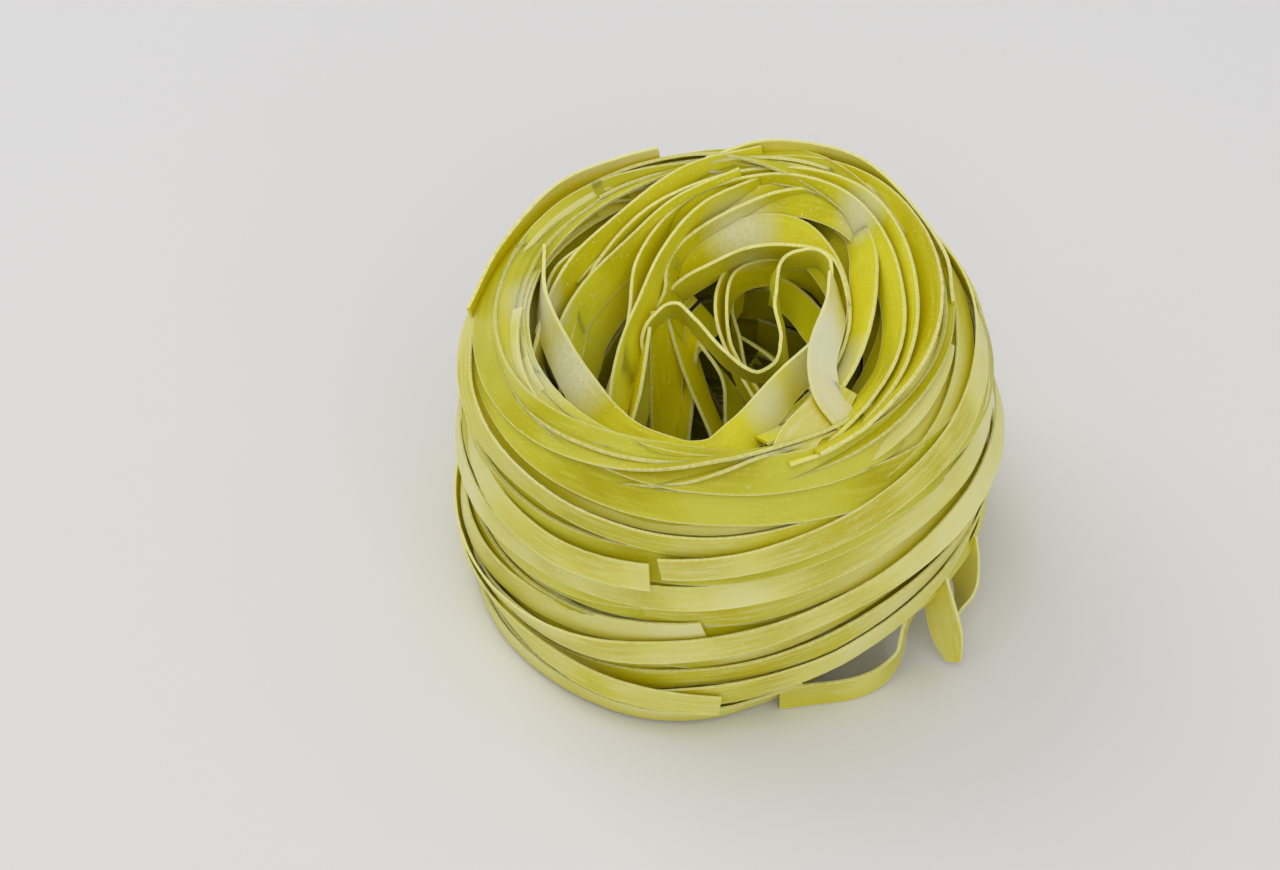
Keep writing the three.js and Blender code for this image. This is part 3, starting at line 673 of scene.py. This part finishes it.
# The wraps beneath get a darker, deeper yellow dough: painted shade from the wraps over them.
covered_dough_painted_shade = dried("dough_of_the_wraps_beneath_painted_shade", 0.88, 0.35, 0.3)
draw = random.Random(11)
inner_pile = Pile(INNER_DEPTH)
inner_routes = []
for layer in range(INNER_LAYERS):
    middle_run = RIBBON_WIDTH / 2 + draw.uniform(0, INNER_STEP)
    while middle_run < RIM_RUN + INNER_PAST_RIM - INNER_LESS_PAST_RIM * layer:
        front = float(np.interp(middle_run, outline_run, outline_height))
        front += max(middle_run - RIM_RUN, 0)
        ranges = (INNER_TILT, INNER_DISH, INNER_RIPPLE)
        inner_routes.append(covered_wrap(inner_pile, front, draw, *ranges))
        middle_run += INNER_STEP * draw.uniform(*INNER_UNEVEN)
    layer_top = INNER_DEPTH + INNER_LAYER_HEIGHT * (layer + 1)
    inner_pile.columns = np.minimum(inner_pile.columns, layer_top)
ribbons("inner_wraps", inner_routes, covered_dough_painted_shade, steps=1, cuts=1, seed=3.0)

# --- The wraps beneath --------------------------------------------------------------------------
# Over those lie ten more wraps of the same dough, spread from the foot to the shoulder. They show
# as edges and slivers between the outermost wraps, which are laid straight on them.
UNDER_WRAPS = 10
UNDER_FRONTS = (4, 38)  # heights at the front
UNDER_TILT = (-1, 8)
UNDER_DISH = (-1, 3)
UNDER_RIPPLE = (0.2, 0.7)
OUTER_DEPTH = -1.9  # from the winding surface, where the pile under the outer wraps starts
outer_pile = Pile(OUTER_DEPTH)
draw = random.Random(5)
under_routes = []
spread = UNDER_FRONTS[1] - UNDER_FRONTS[0]
for index in range(UNDER_WRAPS):
    front = UNDER_FRONTS[0] + spread * (index + draw.random()) / UNDER_WRAPS
    ranges = (UNDER_TILT, UNDER_DISH, UNDER_RIPPLE)
    under_routes.append(covered_wrap(outer_pile, front, draw, *ranges))
ribbons("under_wraps", under_routes, covered_dough_painted_shade, steps=3, cuts=2, seed=9.0)

# --- The outer wraps ----------------------------------------------------------------------------
# The last wraps of the winding, each a single ribbon laid round the outside while soft. Most run
# low at the left and high at the right, and they end square where the ribbon was cut.
OUTER_WRAPS = [  # height at the front, tilt, dish, start and sweep in degrees
    (38.2, 1.5, 3.5, 180, 350),
    (23.4, 5, 1.5, 250, 340),
    (44.6, 0.5, 2.5, -40, 250),
    (35, 1.8, 5.5, 60, 330),
    (6, 6, 2, 30, 290),
    (16.2, 9, 1, 20, 325),
    (12, 10, 1, 60, 340),
    (8.6, 9, 2, 200, 145),
    (21.2, 9, 1, 20, 242),
    (18.6, 9.8, 1, 90, 310),
    (26.8, 5.2, 2.6, 100, 330),
    (42.3, 0.3, 4.2, 176, 169),
    (31, 6.5, 5, 60, 191),
    (32.4, 5.5, 2.5, 254, 180),
    (2.6, 3, 0, 120, 165),
    (14, -4, -5.2, -12, 148),
    (17.5, -3, -4, -25, 176),
    (21, -2, -3, 10, 115),
    (6.5, -2, -1, 128, 138),
]
OUTER_RIPPLE = (0.1, 0.6)
OUTER_LOOSE = 0.6
OUTER_SIZES = (0.70, 0.87)  # shares of the full width; the outer wraps have dried narrowest
open_dough = dried("dried_dough", 1.05, 1.15, 0.35)
outer_routes = []
for wrap in OUTER_WRAPS:
    ripple = draw.uniform(*OUTER_RIPPLE)
    phase = draw.uniform(*ANY_PHASE)
    outer_routes.append(wound(outer_pile, *wrap, ripple, phase, OUTER_LOOSE))
ribbons("outer_wraps", outer_routes, open_dough, steps=4, cuts=3, seed=1.0,
        sizes=OUTER_SIZES, drawn=1105)

# --- The ribbons round the mouth ----------------------------------------------------------------
# Where the winding turned inwards, whole loops of ribbon stand on edge round the mouth. The
# sash lies over the front and runs on into the hollow as a loop in the shape of an S.
FINE_STEP = 0.5
STATION_STEP = 1.6
FEWEST = 4  # steps between two places, and stations of a ribbon
LEAST_GAP = 1e-4  # so that nothing is divided by zero, as is the next
LEAST_SIDE = 1e-6


def curved(places):
    """A smooth route through places of x, y, height and lean, with its directions across.

    A lean of 0 stands on edge and 90 lies flat; a positive lean tips the upper edge to the right
    of the way the ribbon runs. The curve is the centripetal one that never loops between places.
    """
    knots = np.array(places, float)
    points = knots[:, :3]
    ends = np.vstack([2 * points[0] - points[1], points, 2 * points[-1] - points[-2]])
    gaps = np.maximum(np.sum(np.diff(ends, axis=0) ** 2, axis=1) ** 0.25, LEAST_GAP)
    fine, leans = [], []
    for i in range(len(points) - 1):
        before, here, there, beyond = ends[i:i + 4]
        gap_before, gap, gap_beyond = gaps[i:i + 3]
        rest = there - here
        leave = (here - before) / gap_before - (there - before) / (gap_before + gap) + rest / gap
        arrive = rest / gap - (beyond - here) / (gap + gap_beyond) + (beyond - there) / gap_beyond
        leave, arrive = leave * gap, arrive * gap
        count = max(FEWEST, round(np.linalg.norm(rest) / FINE_STEP))
        steps = count + 1 if i == len(points) - 2 else count
        for share in np.arange(steps) / count:
            fine.append(here + leave * share + (3 * rest - 2 * leave - arrive) * share ** 2
                        + (leave + arrive - 2 * rest) * share ** 3)
            leans.append(knots[i, 3] + (knots[i + 1, 3] - knots[i, 3]) * share)
    fine, leans = np.array(fine), np.radians(leans)
    run = np.concatenate([[0], np.cumsum(np.linalg.norm(np.diff(fine, axis=0), axis=1))])
    stations = np.linspace(0, run[-1], max(FEWEST, round(run[-1] / STATION_STEP)))
    middles = np.stack([np.interp(stations, run, fine[:, axis]) for axis in range(3)], axis=1)
    leans = np.interp(stations, run, leans)[:, None]
    along = np.gradient(middles, axis=0)
    side = np.stack([along[:, 1], -along[:, 0], np.zeros(len(along))], axis=1)
    side /= np.maximum(np.linalg.norm(side, axis=1, keepdims=True), LEAST_SIDE)
    return middles, squared(middles, np.cos(leans) * np.array([0, 0, 1]) + np.sin(leans) * side)


MOUTH_RIBBONS = {  # x, y, height and lean at each place
    "sash": [
        (-23, 13, 42, 0), (-23.5, 3, 42, -14), (-20, -8.5, 41, -38), (-13, -20.5, 40.5, -56),
        (-6.5, -24, 41, -95), (-2, -24, 41, -92), (2, -21, 41.5, -52), (7.5, -14, 42.5, -25),
        (12.5, -7.5, 43, -12), (14.5, 8, 41.5, 0), (12, 12, 40.5, -15), (8, 11, 40.5, -25),
        (7.5, 3, 39, 14), (7.5, -4.5, 38.5, 8), (4.5, -8, 38.5, -33), (0.5, -4.5, 38, -15),
        (-3, 1.5, 38, -12), (-6, 5.5, 38, -17), (-9.5, 4, 36, -5), (-10.5, 0, 29.5, 10),
        (-13.5, -6.5, 23.5, 10),
    ],
    "outer_loop": [
        (-19.5, -11, 33, -20), (-20, -2, 34, -22), (-19, 2.5, 35, -22), (-15.5, 11.5, 39.5, -15),
        (-7.5, 20, 42.5, -5), (7, 25, 43.5, 5), (19, 18, 45, -20), (23.5, 3, 45.5, -35),
        (21.5, -13, 44.5, -40), (12.5, -24.5, 43, -60), (6, -27.5, 43, -65),
    ],
    "middle_loop": [
        (-17.5, -15, 27, -20), (-13.5, -4.5, 32, -22), (-11.5, 3.5, 36.5, -22), (-10, 12, 40, -18),
        (-4, 20.5, 42, -5), (7, 24, 43.5, 8), (17, 18, 44.5, -15), (21.5, 5, 45, -35),
        (20.5, -12, 44.5, -38), (11, -24.5, 43, -55), (4, -27, 42.5, -65),
    ],
    "inner_loop": [
        (-16, -11.5, 24, -22), (-11, 3, 31.5, -25), (-6.5, 9, 36, -22), (-6, 13, 38, -15),
        (-2.5, 17.5, 39.5, 0), (10.5, 22.5, 42, 15), (17, 18.5, 42.5, -10), (19, 7, 43.5, -45),
        (15.5, -10.5, 42.5, -40), (8.5, -20, 41.5, -55), (3.5, -22.5, 41.5, -60),
    ],
    "rim_loop": [
        (-24, 2, 37, -5), (-21, 10, 40, -15), (-16, 14, 41.5, -20), (-11, 19, 42.5, -25),
        (-2.5, 24, 43.5, -35), (11.5, 24.5, 45, -40), (21, 18.5, 45.5, -40), (26.5, 3.5, 46, -45),
        (24.5, -11.5, 45.5, -45), (15.5, -23, 44, -60), (9.5, -27, 44, -65),
    ],
    "open_ribbon": [
        (-9, 6, 33, -10), (-5, 13, 36, -30), (-0.5, 17, 38, -40), (5, 19, 39.5, -50),
        (10.5, 17, 40.5, -50), (14, 11, 40.5, -35), (16, 0, 40.5, -15), (14, -7.5, 40, -25),
        (6.5, -18, 39.5, -45),
    ],
    "right_wall": [
        (19, 16, 38.5, -35), (21.5, 8, 38, -42), (21.5, 0, 37.5, -45), (19.5, -8, 37, -45),
        (15, -15.5, 36.5, -45),
    ],
    "mouth_ring": [
        (-9.5, 5.5, 32, 0), (-6, 11, 35.5, 5), (-1, 13, 38, 15), (5.5, 14.5, 40, 28),
        (14.5, 11.5, 40.5, 20), (16.5, 1, 40.5, 0), (15, -7, 38.5, 0),
    ],
    "rim_chord": [
        (-24.5, -3, 37, -10), (-22, 5, 39.5, -15), (-18, 11.5, 41.5, -20), (-10.5, 19, 43, -25),
        (-3, 24.5, 44.5, -25), (7, 26.5, 45.5, -25),
    ],
    "high_chord": [
        (-21, -8, 35, -15), (-21, 0.5, 37, -18), (-17.5, 7.5, 39, -22), (-11, 14.5, 41, -22),
        (-4.5, 20, 43, -22), (4, 24, 44, -20),
    ],
    "fan_chord": [
        (-15, -12.5, 30, -22), (-13.5, -2.5, 34.5, -22), (-10, 6, 38, -22),
        (-6.5, 13.5, 40.5, -15), (-1.5, 20, 42, -5), (6.5, 24, 43, 0),
    ],
    "left_chord": [
        (-20, -4.5, 30, -22), (-17.5, 3, 32.5, -22), (-16.5, 6, 34, -22), (-8.5, 15.5, 38.5, -20),
        (-3, 20, 40, -15), (4, 23.5, 41.5, -10),
    ],
    "wall_chord": [
        (-25, -3, 32, 0), (-22.5, 6, 35, -5), (-18.5, 9.5, 38, -10), (-9.5, 18, 41, -20),
        (-2, 24, 42, -25),
    ],
    "back_chord": [
        (-6, 18, 39, -30), (-1.5, 20.5, 40.5, -35), (9, 22, 42.5, -45), (16.5, 18, 43.5, -45),
        (22, 10, 43.5, -45),
    ],
}
# Its bloom is set low, so these ribbons are a deeper yellow than the outer wraps: painted shade.
mouth_dough = dried("dough_round_the_mouth", 1.03, 0.15, 0.6)
mouth_routes = [curved(places) for places in MOUTH_RIBBONS.values()]
ribbons("mouth_ribbons", mouth_routes, mouth_dough, steps=3, cuts=3, seed=2.0)

# --- The ribbons in the hollow ------------------------------------------------------------------
# Shorter stretches of the same ribbon that ring the hole, cross it, drop away on edge into the
# left of the hollow, or lie broad along its wall at the back left.
HOLLOW_RIBBONS = {  # x, y, height and lean at each place
    "hole_ring": [
        (16, 2, 32, 0), (14, 12.5, 34.5, 0), (11, 15.5, 35, 0), (2.5, 13.5, 35.5, 0),
        (1, 2.5, 33.5, 0), (4.5, -4, 29.5, 0), (9, -8, 24, 0), (14, -11, 20, 0),
    ],
    "hole_curl": [
        (8, 17.5, 34, 0), (2.5, 15.5, 35, 5), (0.5, 12.5, 34.5, 10), (0, 5.5, 33.5, 15),
        (6.5, -8.5, 28.5, 30), (10, -16, 23, 30),
    ],
    "hole_arch": [
        (14, 5, 25, 0), (13.5, 10, 27.5, 0), (12, 15.5, 29, 0), (5.5, 18, 30.5, 0),
        (2, 14, 29.5, 0), (2.5, 8.5, 27.5, 0), (4, 0, 22, 0), (6, -6, 15, 0),
    ],
    "hole_slant": [
        (5, 19, 31, -10), (7, 16.5, 31.5, -10), (10, 12.5, 32.5, -20), (12.5, 6.5, 33.5, -35),
        (16, -4, 34, -30),
    ],
    "crossing": [
        (-3, 18, 22, 40), (0.5, 16.5, 24, 40), (7, 7.5, 27, 40), (11, 0, 28.5, 40),
        (15.5, -5, 30, 40),
    ],
    "low_crossing": [
        (15, 21, 28, 40), (13, 18, 25, 40), (6.5, 12.5, 20.5, 40), (3, 7.5, 18, 40),
        (0, 2, 12, 40),
    ],
    "left_upright": [
        (-10, 4, 36, -15), (-12, -4, 31.5, -22), (-14, -9.5, 28.5, -22), (-17.5, -16, 25, -22),
    ],
    "middle_upright": [
        (-7, 6, 38, 30), (-7.5, 3.5, 32, 35), (-8, -2.5, 20, 35), (-8, -5, 12, 35),
    ],
    "low_upright": [
        (-4, 8, 32, -30), (-5, 5, 28, -30), (-5.5, 1, 25, -30), (-6.5, -2.5, 20, -30),
        (-7, -5, 12, -30),
    ],
    "right_upright": [
        (-6.5, 8, 37, 30), (-3.5, 1.5, 28, 35), (-0.5, -4, 22, 35), (2, -8, 13, 35),
    ],
    "thin_upright": [
        (-3, 5.5, 32, 25), (0.5, 1.5, 28, 25), (1.5, -2, 23, 25), (2, -5, 12, 25),
    ],
    "deep_chord": [
        (-20, -4, 22, 0), (-17.5, 3.5, 26, 0), (-10.5, 14, 30.5, 0), (-9, 17, 31.5, 0),
        (-4, 22, 33, -5),
    ],
    "wall_face_high": [
        (-24, -5, 31, -45), (-23, 3, 34, -48), (-19, 11, 37, -50), (-12, 18, 40, -50),
        (-4, 22.5, 42, -50),
    ],
    "wall_face_middle": [
        (-21, -7, 27, -50), (-20, 1, 29.5, -52), (-17.5, 8, 32, -55), (-13, 14.5, 35, -55),
        (-7, 19.5, 38, -50),
    ],
    "wall_face_low": [
        (-17.5, -12, 21, -48), (-15.5, -4, 25, -50), (-13, 3, 28, -52), (-9.5, 9.5, 31.5, -50),
        (-4.5, 14.5, 34, -45),
    ],
    "wall_face_deep": [
        (-13.5, -13, 16, -45), (-11.5, -5, 20, -48), (-9.5, 2, 24, -50), (-6, 8.5, 27.5, -48),
        (-1, 13, 30, -40),
    ],
}
# This dough is set lighter and a deeper yellow than the rest: painted light, for the light that
# passes through and between the ribbons into the hollow.
hollow_dough_painted_light = dried("dough_in_the_hollow_painted_light", 1.2, 0.03, 0.6)
hollow_routes = [curved(places) for places in HOLLOW_RIBBONS.values()]
ribbons("hollow_ribbons", hollow_routes, hollow_dough_painted_light, steps=3, cuts=3, seed=4.0)

# --- The lining of the hollow -------------------------------------------------------------------
# Behind and below those, arcs of ribbon stand on edge all the way down the wall of the hollow,
# and a few lie across its bottom. Hardly any light reaches them, so their dough is painted dark:
# painted shade.
ARC_STEPS = 8
LINING_ARCS = 46
LINING_TOP = (38.0, 24.0)  # height and radius
LINING_BOTTOM = (14.0, 12.0)
LINING_UNEVEN = (-1.0, 1.2)  # of the radius
LINING_SWEEP = (70, 220)  # degrees
LINING_SLANT = (-3, 3)
LINING_LEAN = (2, 16)
LINING_OVAL = 0.05
LINING_OFF_CENTRE = 2  # how far to the left the bottom lies
STRANDS_ACROSS = 12
ACROSS_STEPS = 4
ACROSS_HALF = 13  # half the length of one
ACROSS_ASIDE = (-8, 8)
ACROSS_HEIGHT = (10.5, 15)
ACROSS_BOW = 2.5
ACROSS_BOW_LENGTH = 9
ACROSS_RISE = 0.02  # how fast the ends climb the wall
ACROSS_LEAN = (20, 75)
ACROSS_BACK = 2  # how far to the back their middle lies
lining_dough_painted_shade = dried("dough_of_the_lining_painted_shade", 0.42, 0.05, 0.3)
draw = random.Random(23)
lining_routes = []
for index in range(LINING_ARCS):
    depth = (index + draw.random()) / LINING_ARCS
    height = LINING_TOP[0] + (LINING_BOTTOM[0] - LINING_TOP[0]) * depth
    radius = LINING_TOP[1] + (LINING_BOTTOM[1] - LINING_TOP[1]) * depth
    radius += draw.uniform(*LINING_UNEVEN)
    start = draw.uniform(0, 360)
    sweep = draw.uniform(*LINING_SWEEP)
    slant = draw.uniform(*LINING_SLANT)
    phase = draw.uniform(*ANY_PHASE)
    places = []
    for step in range(ARC_STEPS + 1):
        angle = math.radians(start + sweep * step / ARC_STEPS)
        reach = radius * (1 + LINING_OVAL * math.sin(2 * angle + phase))
        climb = height + slant * math.sin(angle + phase)
        x = reach * math.cos(angle) - LINING_OFF_CENTRE * depth
        places.append((x, reach * math.sin(angle), climb, draw.uniform(*LINING_LEAN)))
    lining_routes.append(curved(places))
for index in range(STRANDS_ACROSS):
    heading = draw.uniform(0, 2 * math.pi)
    aside = draw.uniform(*ACROSS_ASIDE)
    height = draw.uniform(*ACROSS_HEIGHT)
    places = []
    for step in range(ACROSS_STEPS + 1):
        forth = -ACROSS_HALF + 2 * ACROSS_HALF * step / ACROSS_STEPS
        bow = aside + ACROSS_BOW * math.cos(forth / ACROSS_BOW_LENGTH + heading)
        x = forth * math.cos(heading) - bow * math.sin(heading)
        y = ACROSS_BACK + forth * math.sin(heading) + bow * math.cos(heading)
        places.append((x, y, height + ACROSS_RISE * forth ** 2, draw.uniform(*ACROSS_LEAN)))
    lining_routes.append(curved(places))
ribbons("hollow_lining", lining_routes, lining_dough_painted_shade, steps=2, cuts=1, seed=5.0)

# --- The ribbons of the underside ---------------------------------------------------------------
# On the underside the wraps lie nearly flat on the surface, in arcs that grow outwards from the
# middle. They cross in four levels, one ribbon on the other.
UNDERSIDE_ARCS = 30
UNDERSIDE_RADII = (3.5, 31.0)
UNDERSIDE_SWEEP = (110, 260)  # degrees
LONGEST_ARC = 9000  # sweep in degrees times radius
UNDERSIDE_SHIFT = (-1.1, 1.1)
UNDERSIDE_OVAL = 0.04
UNDERSIDE_LEVELS = 4
FIRST_LEVEL = 0.45
LEVEL_STEP = 0.55
UNDERSIDE_LIMIT = 29.5  # the largest radius
UNDERSIDE_TUCK = 5  # and how much less it is where the foot is drawn in
UNDERSIDE_TIP = (0, 5)  # degrees off flat
draw = random.Random(31)
underside_routes = []
radius_range = UNDERSIDE_RADII[1] - UNDERSIDE_RADII[0]
for index in range(UNDERSIDE_ARCS):
    radius = UNDERSIDE_RADII[0] + radius_range * math.sqrt((index + 0.5) / UNDERSIDE_ARCS)
    start = draw.uniform(0, 360)
    sweep = min(draw.uniform(*UNDERSIDE_SWEEP), LONGEST_ARC / radius)
    shift_x, shift_y = draw.uniform(*UNDERSIDE_SHIFT), draw.uniform(*UNDERSIDE_SHIFT)
    height = FIRST_LEVEL + LEVEL_STEP * (index % UNDERSIDE_LEVELS)
    places = []
    for step in range(ARC_STEPS + 1):
        angle = math.radians(start + sweep * step / ARC_STEPS)
        limit = UNDERSIDE_LIMIT - UNDERSIDE_TUCK * hill(math.degrees(angle), *FOOT_TUCK_AT)
        reach = min(radius * (1 + UNDERSIDE_OVAL * math.sin(2 * angle + index)), limit)
        x = reach * math.cos(angle) + shift_x
        y = reach * math.sin(angle) + shift_y
        places.append((x, y, height, 90 - draw.uniform(*UNDERSIDE_TIP)))
    underside_routes.append(curved(places))
ribbons("underside_ribbons", underside_routes, open_dough, steps=2, cuts=1, seed=6.0)

# --- Broken and loose ends ----------------------------------------------------------------------
# Dry ribbon snaps, so short pieces lie over the front of the mouth, one of them leaning open. Two
# longer ones stand on edge outside the rim at the back. All are of a paler dough than the rest.
LOOSE_RIBBONS = {  # x, y, height and lean at each place
    "broken_stub": [
        (15, 4, 43, 20), (14.5, -2.5, 44.5, 30), (12, -13, 45.5, 50), (12.5, -19, 44.8, 60),
        (15, -22.5, 43.5, 75),
    ],
    "flap": [
        (14, -16, 44, 65), (12.5, -19.5, 44, 70), (8.5, -25, 44.5, 80), (7, -27.5, 43.5, 80),
    ],
    "standing_band": [
        (30, -1.5, 42.5, -5), (29.5, 6, 44, -5), (20, 23.5, 45.5, 0), (7.5, 28, 45.5, 5),
        (-0.5, 26, 44.5, 10),
    ],
    "back_end": [
        (-33, 5, 39, -5), (-28.5, 14, 42, 0), (-20.5, 23.5, 44, 0), (-11, 27.5, 45, 0),
        (-7, 28, 45.5, 0),
    ],
}
pale_dough = dried("dough_of_the_loose_ends", 1.08, 1.9, 0.2)
loose_routes = [curved(places) for places in LOOSE_RIBBONS.values()]
ribbons("loose_ends", loose_routes, pale_dough, steps=3, cuts=3, seed=7.0)

# --- The foot -----------------------------------------------------------------------------------
# At the right the lowest wraps climb away, so a loop of ribbon and two broken ends stand clear
# of the nest there. The end in front is torn to a tip.
FOOT_RIBBONS = {  # x, y, height and lean at each place
    "foot_loop": [
        (5.5, -32, 2.5, 5), (16.5, -30.5, 2.5, 5), (20, -28.5, 3, 5), (21.5, -27, 4.5, 8),
        (22.5, -26, 8.5, 8), (24.5, -24, 14, 8),
    ],
    "foot_end": [
        (25.5, -19, 17, -10), (27, -22, 11, -10), (29.2, -26, 1.3, -15),
    ],
    "rear_foot_end": [
        (31, -12.5, 12, -24), (31.6, -15, 7.5, -24), (31.2, -17.2, 4, -28), (29.8, -19, 2.5, -28),
    ],
}
TORN_ROUTES = (list(FOOT_RIBBONS).index("foot_end"),)
foot_routes = [curved(places) for places in FOOT_RIBBONS.values()]
ribbons("foot_ribbons", foot_routes, open_dough, steps=3, cuts=3, seed=8.0, torn=TORN_ROUTES)

# --- The floor, the light and the camera --------------------------------------------------------
# The nest stands on a plain pale floor. A wide soft lamp hangs behind it at the upper left, with a
# smaller one overhead, a wide weak one in front and an even pale sky all round.
FLOOR_SIZE = 3.0  # metres, as are all the sizes from here on
FLOOR_TONE = (0.84, 0.835, 0.835, 1)
half = FLOOR_SIZE / 2
floor_corners = [(-half, -half, 0), (half, -half, 0), (half, half, 0), (-half, half, 0)]
floor = new_object("floor", floor_corners, [(0, 1, 2, 3)])
floor_finish, floor_tree, floor_shader = new_material("floor_finish")
connect(floor_tree, floor_shader, {"Base Color": FLOOR_TONE, "Roughness": 0.9})
floor.data.materials.append(floor_finish)

SKY_TONE = (0.98, 0.98, 1.0, 1)
SKY_STRENGTH = 0.54
sky = bpy.data.worlds.new("sky")
sky.use_nodes = True
sky_light = sky.node_tree.nodes["Background"]
connect(sky.node_tree, sky_light, {"Color": SKY_TONE, "Strength": SKY_STRENGTH})
bpy.context.scene.world = sky

LOOKED_AT = Vector((0, 0, 0.020))
LAMPS = (  # name, place, size across, power, tone
    ("window", (-0.55, 0.55, 0.75), 0.8, 2.4, (1.0, 0.98, 0.95)),
    ("ceiling", (-0.05, -0.1, 0.9), 0.35, 0.8, (1.0, 0.99, 0.97)),
    ("fill", (0.15, -0.65, 0.6), 0.8, 1.5, (1.0, 0.98, 0.96)),
)
for name, position, size, power, tone in LAMPS:
    lamp = bpy.data.lights.new(name, "AREA")
    lamp.size = size
    lamp.energy = power
    lamp.color = tone
    holder = bpy.data.objects.new(name, lamp)
    holder.location = position
    holder.rotation_euler = (LOOKED_AT - Vector(position)).to_track_quat("-Z", "Y").to_euler()
    bpy.context.scene.collection.objects.link(holder)

LENS = 85.0  # millimetres, as is the next
SENSOR = 36.0
PICTURE_SIZE = (1280, 870)
LOOK_DOWN = math.radians(45.0)
ROLL = math.radians(-2.5)
DISTANCE = 0.410
LOOKED_AT_PIXEL = (724.5, 435.2)
forward = Vector((0, math.cos(LOOK_DOWN), -math.sin(LOOK_DOWN)))
level = Vector((1, 0, 0))
upward = level.cross(forward)
right = level * math.cos(ROLL) + upward * math.sin(ROLL)
up = upward * math.cos(ROLL) - level * math.sin(ROLL)
focal_pixels = LENS / SENSOR * PICTURE_SIZE[0]
shift_right = (LOOKED_AT_PIXEL[0] - PICTURE_SIZE[0] / 2) / focal_pixels * DISTANCE
shift_up = (PICTURE_SIZE[1] / 2 - LOOKED_AT_PIXEL[1]) / focal_pixels * DISTANCE
stand = LOOKED_AT - forward * DISTANCE - right * shift_right - up * shift_up
camera = bpy.data.objects.new("camera", bpy.data.cameras.new("camera"))
camera.data.lens = LENS
camera.data.sensor_width = SENSOR
camera.data.clip_start = 0.01
turned = Matrix((right, up, -forward)).transposed().to_4x4()
camera.matrix_world = Matrix.Translation(stand) @ turned
bpy.context.scene.collection.objects.link(camera)
bpy.context.scene.camera = camera
bpy.context.scene.view_settings.view_transform = "Standard"
